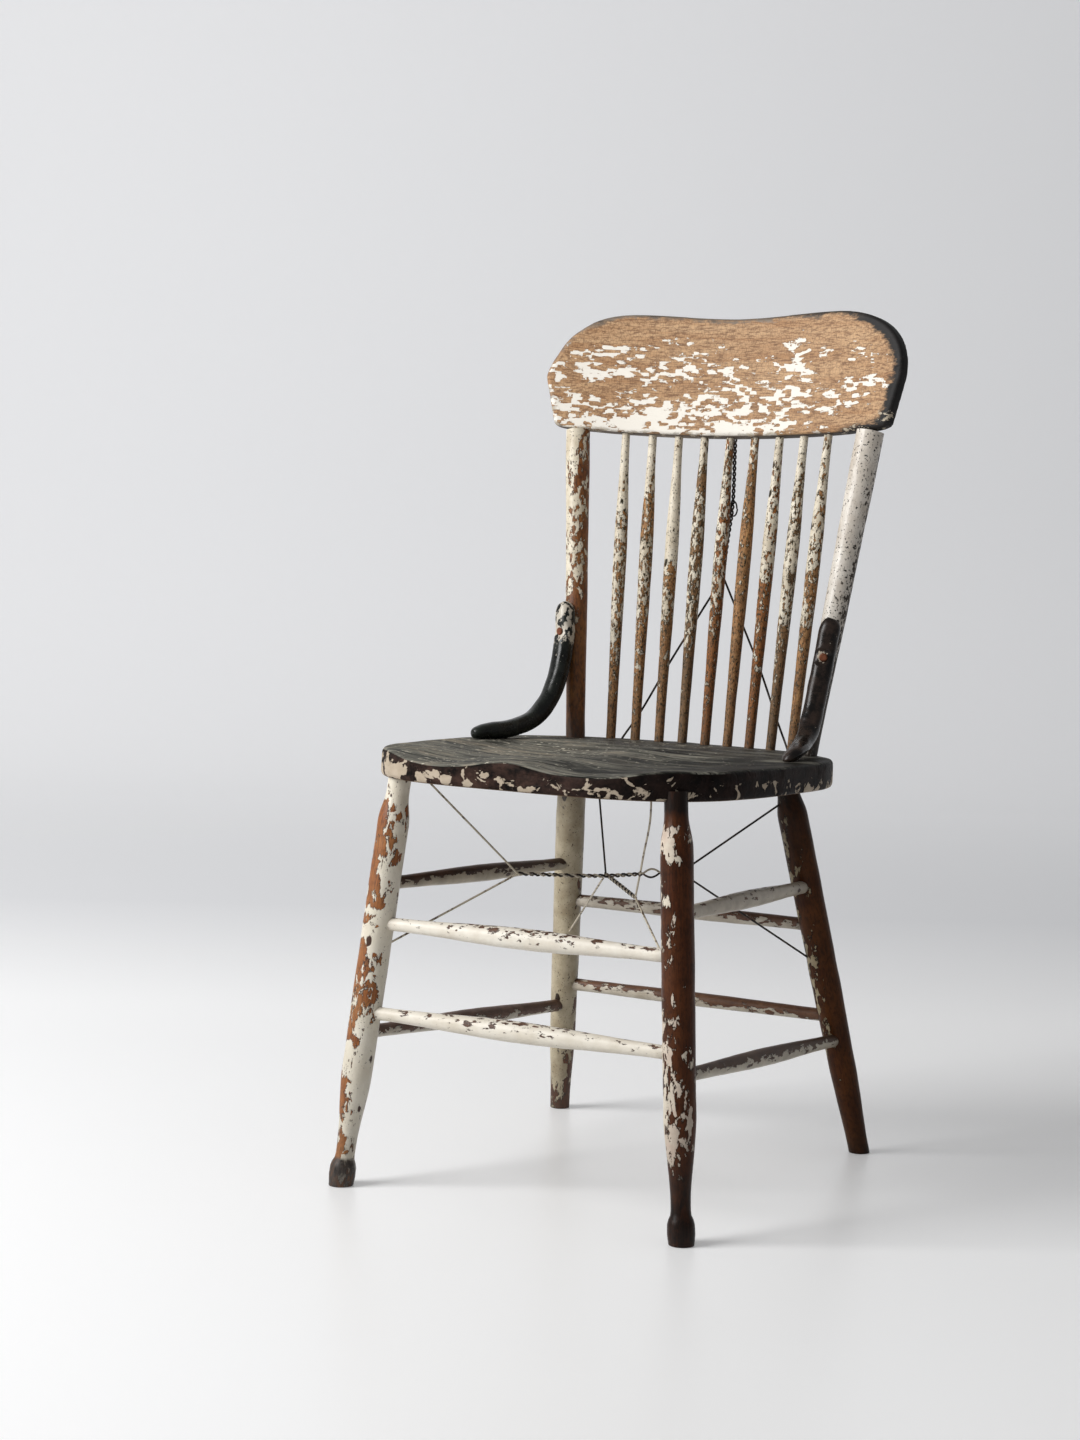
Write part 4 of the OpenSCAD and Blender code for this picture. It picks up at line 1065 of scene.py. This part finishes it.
ragged = add(tree, "ShaderNodeMath", {0: reach, 1: ragged}, operation="SUBTRACT").outputs[0]
rim = add(tree, "ShaderNodeMapRange", {0: ragged, 1: -0.002, 2: 0.004}).outputs[0]
normal = add(tree, "ShaderNodeNewGeometry").outputs["Normal"]
facing = add(tree, "ShaderNodeSeparateXYZ", {0: normal}).outputs[1]
edgewise = add(tree, "ShaderNodeMath", {0: facing}, operation="ABSOLUTE").outputs[0]
# Painted shade: the faces turned away from the front, the ends and the edges above and below, take the
# dark edge colour.
turned_away = add(tree, "ShaderNodeMapRange", {0: edgewise, 1: 0.82, 2: 0.60}).outputs[0]
rim = add(tree, "ShaderNodeMath", {0: rim, 1: turned_away}, operation="MAXIMUM").outputs[0]
worn_and_lit_edge = add(tree, "ShaderNodeMix", {
    0: band_sharp, 6: paint("#4d4239"), 7: paint("#8b7e70"),
}, data_type="RGBA").outputs[2]
black_edge = add(tree, "ShaderNodeMix", {
    0: band_sharp, 6: paint("#070606"), 7: paint("#181311"),
}, data_type="RGBA").outputs[2]
# Painted shade: the edge colour goes black towards the right, away from the window, and stays grey-brown
# on the left.
blacker = add(tree, "ShaderNodeMapRange", {0: spot.outputs[0], 1: 0.06, 2: 0.17}).outputs[0]
soot_and_shade = add(tree, "ShaderNodeMix", {0: blacker, 6: worn_and_lit_edge, 7: black_edge}, data_type="RGBA").outputs[2]
# A few cream and taupe chips are left on the lower part of the ends.
end_chip = add(tree, "ShaderNodeMapRange", {
    0: spot.outputs[2], 1: 0.065, 2: 0.020, 3: -0.3, 4: 0.02,
}).outputs[0]
end_chip = add(tree, "ShaderNodeMath", {0: torn, 1: end_chip}, operation="ADD").outputs[0]
end_chip = add(tree, "ShaderNodeMapRange", {0: end_chip, 1: 0.60, 2: 0.61}).outputs[0]
soot_and_shade = add(tree, "ShaderNodeMix", {
    0: end_chip, 6: soot_and_shade, 7: paint("#b5a893"),
}, data_type="RGBA").outputs[2]
colour = add(tree, "ShaderNodeMix", {0: rim, 6: colour, 7: soot_and_shade}, data_type="RGBA").outputs[2]
relief = add(tree, "ShaderNodeMath", {0: pore, 1: -0.7, 2: white}, operation="MULTIPLY_ADD").outputs[0]
bump = add(tree, "ShaderNodeBump", {"Strength": 0.8, "Distance": 0.0005, "Height": relief}).outputs[0]
feed(tree, shader, {
    "Base Color": colour, "Normal": bump, "Roughness": 0.62, "Specular IOR Level": 0.35,
})
crest.data.materials.append(finish)

# ---------------------------------------------------------------- braces
# Steam-bent braces, screwed to the posts and standing on the seat. They wear
# thick glossy black-green paint, chipped to ivory and wood at the lap.
LAP_ROUND = 0.016
COAT_THICK = 0.0016
RECESS_R = 0.011
RECESS_DEPTH = 0.0024
FOOT_LIFT = {"left": 0.0036, "right": 0.0012}
FOOT_SHIFT = {"left": Vector((0, 0, 0)), "right": Vector((-0.010, -0.015, 0))}
LIFT_FADE = 0.060
SHIFT_FADE = 0.030
PAINT_LUMP = 0.0007
# Two paints, the chips' colour, and how much paint is off the lap and round the screw.
BRACE_PAINT = {
    "left": ("#070907", "#1d211c", "#c4bcae", 0.125, 0.02),
    "right": ("#0b0705", "#33261f", "#b3a796", -0.055, 0.13),
}
for side in ("left", "right"):
    only(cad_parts["brace_" + side])
    bpy.ops.object.duplicate()
    brace = bpy.context.object
    bpy.ops.object.mode_set(mode="EDIT")
    bpy.ops.mesh.select_all(action="SELECT")
    bpy.ops.mesh.remove_doubles(threshold=0.00002)
    bpy.ops.object.mode_set(mode="OBJECT")
    even_out(brace, face=0.0012, passes=14)
    swollen = brace.modifiers.new("thick paint", "DISPLACE")
    swollen.strength = COAT_THICK
    swollen.mid_level = 0
    apply_modifiers(brace)
    # The lap's upper end is whittled round, and the foot stands on the warped seat.
    tip = max(v.co.z for v in brace.data.vertices)
    below = [v.co for v in brace.data.vertices if abs(v.co.z - tip + LAP_ROUND) < 0.002]
    middle = sum(below, Vector()) / len(below)
    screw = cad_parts["brace_screw_" + side]
    screw_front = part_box("brace_screw_" + side)[0].y + 0.003
    head = [v.co for v in screw.data.vertices if v.co.y < screw_front]
    head = sum(head, Vector()) / len(head)
    outward = [v.normal.copy() for v in brace.data.vertices]
    for v, out in zip(brace.data.vertices, outward):
        t = max(0, 1 - (tip - v.co.z) / LAP_ROUND)
        taper = 1 - math.sqrt(1 - 0.75 * t * t)
        v.co.x += (middle.x - v.co.x) * taper
        v.co.y += (middle.y - v.co.y) * taper
        v.co += out * PAINT_LUMP * noise.noise(v.co * 55)
        v.co -= out * RECESS_DEPTH * max(0, 1 - ((v.co - head).length / RECESS_R) ** 4)
        v.co.z += FOOT_LIFT[side] * max(0, 1 - (v.co.z - SEAT_TOP) / LIFT_FADE)
        v.co += FOOT_SHIFT[side] * max(0, 1 - (v.co.z - SEAT_TOP) / SHIFT_FADE) ** 2
    brace.data.materials.clear()
    settle(brace, "brace_%s_bent" % side)
    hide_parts("brace_" + side)

    low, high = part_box("brace_" + side)
    finish, tree, shader, place = start_material("glossy_black_green_paint_" + side)
    spot = add(tree, "ShaderNodeSeparateXYZ", {0: place})
    up = add(tree, "ShaderNodeMapRange", {0: spot.outputs[2], 1: low.z, 2: high.z}).outputs[0]
    cloud = add(tree, "ShaderNodeTexNoise", {
        "Vector": place, "Scale": 60.0, "Detail": 6, "Roughness": 0.65,
    }).outputs[0]
    torn_space = add(tree, "ShaderNodeMapping", {"Vector": place, "Scale": (120, 120, 75)}).outputs[0]
    torn = add(tree, "ShaderNodeTexNoise", {
        "Vector": torn_space, "Scale": 1.0, "Detail": 7, "Roughness": 0.64,
    }).outputs[0]
    green, dusty, ivory, lap_chips, ring_chips = BRACE_PAINT[side]
    worn = add(tree, "ShaderNodeMapRange", {0: cloud, 1: 0.42, 2: 0.66}).outputs[0]
    dark = add(tree, "ShaderNodeMix", {
        0: worn, 6: paint(green), 7: paint(dusty),
    }, data_type="RGBA").outputs[2]
    lap = add(tree, "ShaderNodeMapRange", {0: up, 1: 0.50, 2: 0.78, 3: -0.085, 4: lap_chips}).outputs[0]
    field = add(tree, "ShaderNodeMath", {0: torn, 1: lap}, operation="ADD").outputs[0]
    # Driving the screw has cracked a ring of paint off round its head.
    off_screw = add(tree, "ShaderNodeVectorMath", {
        0: place, 1: head,
    }, operation="DISTANCE").outputs["Value"]
    ring = add(tree, "ShaderNodeMapRange", {
        0: off_screw, 1: 0.0085, 2: 0.0055, 3: 0.0, 4: ring_chips,
    }).outputs[0]
    field = add(tree, "ShaderNodeMath", {0: field, 1: ring}, operation="ADD").outputs[0]
    chip = add(tree, "ShaderNodeMapRange", {0: field, 1: 0.60, 2: 0.612}).outputs[0]
    colour = add(tree, "ShaderNodeMix", {0: chip, 6: dark, 7: paint(ivory)}, data_type="RGBA").outputs[2]
    relief = add(tree, "ShaderNodeMath", {
        0: cloud, 1: 1.2, 2: chip,
    }, operation="MULTIPLY_ADD").outputs[0]
    bump = add(tree, "ShaderNodeBump", {
        "Strength": 0.6, "Distance": 0.0007, "Height": relief,
    }).outputs[0]
    gloss = add(tree, "ShaderNodeMapRange", {0: cloud, 1: 0.35, 2: 0.65, 3: 0.15, 4: 0.40}).outputs[0]
    feed(tree, shader, {
        "Base Color": colour, "Normal": bump, "Roughness": gloss, "Specular IOR Level": 0.3,
    })
    brace.data.materials.append(finish)

# Round-headed iron screws, brown with rust.
finish, tree, shader, place = start_material("rusty_iron_screw")
spots = add(tree, "ShaderNodeTexNoise", {
    "Vector": place, "Scale": 420.0, "Detail": 5, "Roughness": 0.65,
}).outputs[0]
colour = add(tree, "ShaderNodeMix", {
    0: spots, 6: paint("#2a140a"), 7: paint("#8f4f2c"),
}, data_type="RGBA").outputs[2]
bump = add(tree, "ShaderNodeBump", {"Strength": 0.8, "Distance": 0.0004, "Height": spots}).outputs[0]
feed(tree, shader, {"Base Color": colour, "Normal": bump, "Metallic": 0.35, "Roughness": 0.6})
for side in ("left", "right"):
    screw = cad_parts["brace_screw_" + side]
    screw.data.materials.clear()
    screw.data.materials.append(finish)

# ----------------------------------------------------------------- wires
# Soft iron tie wire, drawn tight under the seat and behind the spindles and
# twisted on itself. Some of it was painted with the chair, the rest rusted.
WIRE_D = 0.0022
SEAT_UNDER = SEAT_TOP - SEAT_THICK
WIRE_HOLE = 0.008
TWIST_PITCH = 0.013
TWIST_R = WIRE_D * 0.62
EYE_LENGTH = 0.020
EYE_BOW = 0.0045
# A strand links the twist, which stops this far short, to the other wires.
LINK_LENGTH = 0.024


def wire_finish(name, patch_scale, rust_from, rust_full, covered, rust, metallic, roughness):
    """What covers a wire, with patches of rust breaking through."""
    finish, tree, shader, place = start_material(name)
    patch = add(tree, "ShaderNodeTexNoise", {
        "Vector": place, "Scale": patch_scale, "Detail": 5, "Roughness": 0.7,
    }).outputs[0]
    rusted = add(tree, "ShaderNodeMapRange", {0: patch, 1: rust_from, 2: rust_full}).outputs[0]
    colour = add(tree, "ShaderNodeMix", {
        0: rusted, 6: paint(covered), 7: paint(rust),
    }, data_type="RGBA").outputs[2]
    bump = add(tree, "ShaderNodeBump", {"Strength": 0.6, "Distance": 0.0003, "Height": patch}).outputs[0]
    feed(tree, shader, {
        "Base Color": colour, "Normal": bump, "Metallic": metallic, "Roughness": roughness,
    })
    return finish


# Cream oil paint on wire that was painted with the chair, and bare wire with
# black scale and brown rust, which is dull.
cream_wire = wire_finish(
    "cream_painted_wire", patch_scale=150.0, rust_from=0.54, rust_full=0.60,
    covered="#c2b8a4", rust="#4f3c2c", metallic=0.0, roughness=0.5,
)
black_wire = wire_finish(
    "black_rusty_wire", patch_scale=110.0, rust_from=0.48, rust_full=0.66,
    covered="#14100e", rust="#4a3223", metallic=0.2, roughness=0.55,
)


def leg_at(side, row, z):
    """The middle of a leg at one height."""
    low, high = leg_axis["leg_%s_%s" % (row, side)]
    return low + (high - low) * ((z - low.z) / (high.z - low.z))


def across_at(side, share, z):
    """A point between a front leg and the back leg opposite, at one height."""
    other = "right" if side == "left" else "left"
    return leg_at(side, "front", z).lerp(leg_at(other, "back", z), share)


def in_leg(side, row, z, towards):
    """The wire's end, a hole's depth inside a leg."""
    centre = leg_at(side, row, z)
    return centre + (towards - centre).normalized() * (LEG_D / 2 - WIRE_HOLE)


def drawn(route, finish, radius=WIRE_D / 2):
    """One strand of wire along its points, as a mesh tube."""
    curve = bpy.data.curves.new("strand", "CURVE")
    curve.dimensions = "3D"
    curve.bevel_depth = radius
    curve.bevel_resolution = 3
    curve.use_fill_caps = True
    line = curve.splines.new("POLY")
    line.points.add(len(route) - 1)
    for point, p in zip(line.points, route):
        point.co = (*p, 1)
    strand = bpy.data.objects.new("strand", curve)
    bpy.context.collection.objects.link(strand)
    only(strand)
    bpy.ops.object.convert(target="MESH")
    strand = bpy.context.object
    strand.data.materials.append(finish)
    return strand


def eased(route, per_leg=8):
    """The route with its corners eased, as drawn wire bends."""
    points = []
    ends = [route[0] * 2 - route[1]] + route + [route[-1] * 2 - route[-2]]
    for a, b, c, d in zip(ends, ends[1:], ends[2:], ends[3:]):
        for i in range(per_leg):
            t = i / per_leg
            points.append(0.5 * (
                2 * b + (c - a) * t + (2 * a - 5 * b + 4 * c - d) * t * t
                + (3 * b - a - 3 * c + d) * t ** 3
            ))
    return points + [route[-1]]


def twisted(route, finishes, eye=0):
    """Strands wound about each other along the route, with an open eye at its end."""
    dense = eased(route, 40)
    total = sum((b - a).length for a, b in zip(dense, dense[1:]))
    made = []
    for k, finish in enumerate(finishes):
        gone, winding = 0, []
        for i, p in enumerate(dense):
            ahead = dense[min(i + 1, len(dense) - 1)] - dense[max(i - 1, 0)]
            gone += (p - dense[i - 1]).length if i else 0
            u = ahead.cross(Vector((0.3, 0.2, 1))).normalized()
            v = ahead.normalized().cross(u)
            a = 2 * math.pi * (gone / TWIST_PITCH + k / len(finishes))
            if eye and total - gone < eye:
                # The twist stops and the strands part in a lens-shaped eye.
                t = (total - gone) / eye
                bow = EYE_BOW * math.sin(math.pi * min(1, t)) * (1 - 2 * k)
                winding.append(p + Vector((0, 0, bow)))
                continue
            winding.append(p + (u * math.cos(a) + v * math.sin(a)) * TWIST_R)
        made.append(drawn(winding, finish))
    return made


def join(parts, name, node):
    """Makes one piece of the strands that are wound and hooked together."""
    deselect()
    for part in parts:
        part.select_set(True)
    bpy.context.view_layer.objects.active = parts[0]
    bpy.ops.object.join()
    joined = bpy.context.object
    settle(joined, name)
    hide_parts(node)


# The knots under each side, the one nearer the front first.
left_knots = [across_at("left", 0.305, 0.326), across_at("left", 0.695, 0.324)]
right_knots = [across_at("right", 0.35, 0.311), across_at("right", 0.624, 0.318)]
neck_hole = leg_at("right", "back", SEAT_UNDER - 0.017)
neck_hole += (left_knots[1] - neck_hole).normalized() * (NECK_D / 2 - 0.006)
left_wires = [
    drawn([across_at("left", 0.06, SEAT_UNDER + WIRE_HOLE), left_knots[0]], cream_wire),
    drawn([in_leg("left", "front", 0.247, left_knots[0]), left_knots[0]], cream_wire),
    drawn([left_knots[1], neck_hole], black_wire),
    drawn([left_knots[1], in_leg("right", "back", 0.214, left_knots[1])], black_wire),
]
sag = left_knots[0].lerp(left_knots[1], 0.5) - Vector((0, 0, 0.003))
pair_end = left_knots[1] - (left_knots[1] - left_knots[0]).normalized() * LINK_LENGTH
left_wires += twisted([left_knots[0], sag, pair_end], [cream_wire, black_wire], eye=EYE_LENGTH)
left_wires.append(drawn([pair_end, left_knots[1]], black_wire))
RISE = [
    (0.305, 0.342), (0.273, 0.365), (0.236, 0.388), (0.218, 0.406), (0.214, SEAT_UNDER + WIRE_HOLE),
]
rise = [across_at("right", share, z) for share, z in RISE]
right_wires = [
    drawn(eased([right_knots[0]] + rise), cream_wire),
    drawn([in_leg("right", "front", 0.246, right_knots[0]), right_knots[0]], cream_wire),
    drawn([right_knots[1], across_at("right", 0.735, SEAT_UNDER + WIRE_HOLE)], black_wire),
    drawn([right_knots[1], in_leg("left", "back", 0.216, right_knots[1])], cream_wire),
]
right_wires += twisted([right_knots[0], right_knots[1]], [cream_wire, black_wire])

# The stay hangs from a nail behind the crest rail, has a small loop where its
# twist ends, and parts to two holes in the seat.
STAY_TOP = [
    (0.0035, 0.233, 0.816), (0.0035, 0.2325, 0.800), (0.004, 0.231, 0.740), (0.004, 0.228, 0.716),
    (0.002, 0.2235, 0.685), (-0.001, 0.2185, 0.640),
]
STAY_ARM = [
    (-0.001, 0.2185, 0.641), (-0.030, 0.210, 0.590), (-0.059, 0.201, 0.538), (-0.086, 0.190, 0.485),
    (-0.105, 0.180, 0.452), (-0.108, 0.177, 0.441),
]
STAY_D = 0.0025
LOOP_D = 0.0018
LOOP_H = 0.017
LOOP_HALF_W = 0.0045
LOOP_X, LOOP_Y, LOOP_Z = 0.0055, 0.2285, 0.721
LOOP_LAP = 0.0014
LOOP_STEPS = 24
stay_wires = twisted([Vector(p) for p in STAY_TOP], [black_wire, black_wire])
for mirror in (1, -1):
    arm = [Vector((p[0] * mirror, p[1], p[2])) for p in STAY_ARM]
    stay_wires.append(drawn(eased(arm), black_wire, STAY_D / 2))
loop = []
for i in range(LOOP_STEPS + 1):
    a = 2 * math.pi * i / LOOP_STEPS
    # The loop's end passes beside its start.
    y = LOOP_Y + LOOP_LAP * i / LOOP_STEPS
    loop.append(Vector((LOOP_X + LOOP_HALF_W * math.cos(a), y, LOOP_Z + LOOP_H / 2 * math.sin(a))))
stay_wires.append(drawn(loop, black_wire, LOOP_D / 2))

join(left_wires, "wire_truss_left_strands", "wire_truss_left")
join(right_wires, "wire_truss_right_strands", "wire_truss_right")
join(stay_wires, "wire_back_stay_strands", "wire_back_stay")

# ---------------------------------------------------------- floor, light
# A painted studio floor that sweeps up into the wall behind, far enough off to
# walk round the chair. Soft daylight fills the room from all sides, and a tall
# window to the left is brighter.
WALL = 4.6
WALL_H = 7
FLOOR_W, FLOOR_DEPTH = 24, 14
SWEEP_R = 0.8
WINDOW_W, WINDOW_H = 2.0, 2.4
WINDOW_AT = Vector((-3.3, -1.15, 2.4))
WINDOW_AIM = Vector((0, 0, 0.4))
WINDOW_POWER = 172

bpy.ops.mesh.primitive_plane_add(size=1)
floor = bpy.context.object
floor.scale = (FLOOR_W, FLOOR_DEPTH, 1)
floor.location = (0, WALL - FLOOR_DEPTH / 2, -0.0005)
only(floor)
bpy.ops.object.transform_apply(location=True, scale=True)
select_edges(floor, lambda a, b: min(a.y, b.y) > WALL - 0.01)
bpy.ops.mesh.extrude_region_move(TRANSFORM_OT_translate={"value": (0, 0, WALL_H)})
bpy.ops.object.mode_set(mode="OBJECT")
sweep = floor.modifiers.new("sweep", "BEVEL")
sweep.width = SWEEP_R
sweep.segments = 16
sweep.limit_method = "ANGLE"
apply_modifiers(floor)
bpy.ops.object.shade_smooth()
floor.name = "studio_floor"
turn_room = Matrix.Rotation(TURN, 4, "Z")
floor.data.transform(turn_room)
# Satin white floor paint and a duller wall, a little greyer where they meet.
finish, tree, shader, place = start_material("satin_floor_paint")
across_room = add(tree, "ShaderNodeVectorMath", {
    0: place, 1: (-math.sin(TURN), math.cos(TURN), 0),
}, operation="DOT_PRODUCT").outputs["Value"]
wallward = add(tree, "ShaderNodeMapRange", {0: across_room, 1: 0.9, 2: 1.9}).outputs[0]
floor_colour = add(tree, "ShaderNodeMix", {
    0: wallward, 6: paint("#ebebeb"), 7: paint("#cdced1"),
}, data_type="RGBA").outputs[2]
sheen = add(tree, "ShaderNodeMapRange", {0: across_room, 1: 0.9, 2: 2.4, 3: 0.35, 4: 0.9}).outputs[0]
# Seen by the camera or in a gloss, the room is a little paler than it is lit.
ray = add(tree, "ShaderNodeLightPath")
seen = add(tree, "ShaderNodeMath", {
    0: ray.outputs["Is Camera Ray"], 1: ray.outputs["Is Glossy Ray"],
}, operation="MAXIMUM").outputs[0]
far = add(tree, "ShaderNodeMapRange", {0: across_room, 1: 0.6, 2: 3.7, 3: 0.15, 4: 0.365}).outputs[0]
# Painted light: the wall glows more on the window's side, as if the window lit it more there.
along_wall = add(tree, "ShaderNodeVectorMath", {
    0: place, 1: (math.cos(TURN), math.sin(TURN), 0),
}, operation="DOT_PRODUCT").outputs["Value"]
fall = add(tree, "ShaderNodeMapRange", {0: along_wall, 1: -1.6, 2: 1.6, 3: 0.065, 4: -0.065}).outputs[0]
far = add(tree, "ShaderNodeMath", {0: far, 1: fall}, operation="ADD").outputs[0]
glow = add(tree, "ShaderNodeMath", {0: seen, 1: far}, operation="MULTIPLY").outputs[0]
feed(tree, shader, {
    "Base Color": floor_colour, "Roughness": sheen,
    "Emission Color": paint("#ffffff"), "Emission Strength": glow,
})
floor.data.materials.append(finish)
floor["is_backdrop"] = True

world = bpy.data.worlds.new("soft daylight")
bpy.context.scene.world = world
world.use_nodes = True
tree = world.node_tree
ray = add(tree, "ShaderNodeLightPath")
strength = add(tree, "ShaderNodeMapRange", {
    0: ray.outputs["Is Camera Ray"], 3: 0.31, 4: 0.46,
}).outputs[0]
feed(tree, tree.nodes["Background"], {"Color": paint("#f1f1f2"), "Strength": strength})

# One tall window to the left and a little in front.
bpy.ops.object.light_add(type="AREA")
window = bpy.context.object
window.data.shape = "RECTANGLE"
window.data.size = WINDOW_W
window.data.size_y = WINDOW_H
window.data.energy = WINDOW_POWER
window.location = turn_room @ WINDOW_AT
aim = WINDOW_AIM - window.location
window.rotation_euler = aim.to_track_quat("-Z", "Y").to_euler()
bpy.context.scene.view_settings.view_transform = "Standard"

low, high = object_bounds()
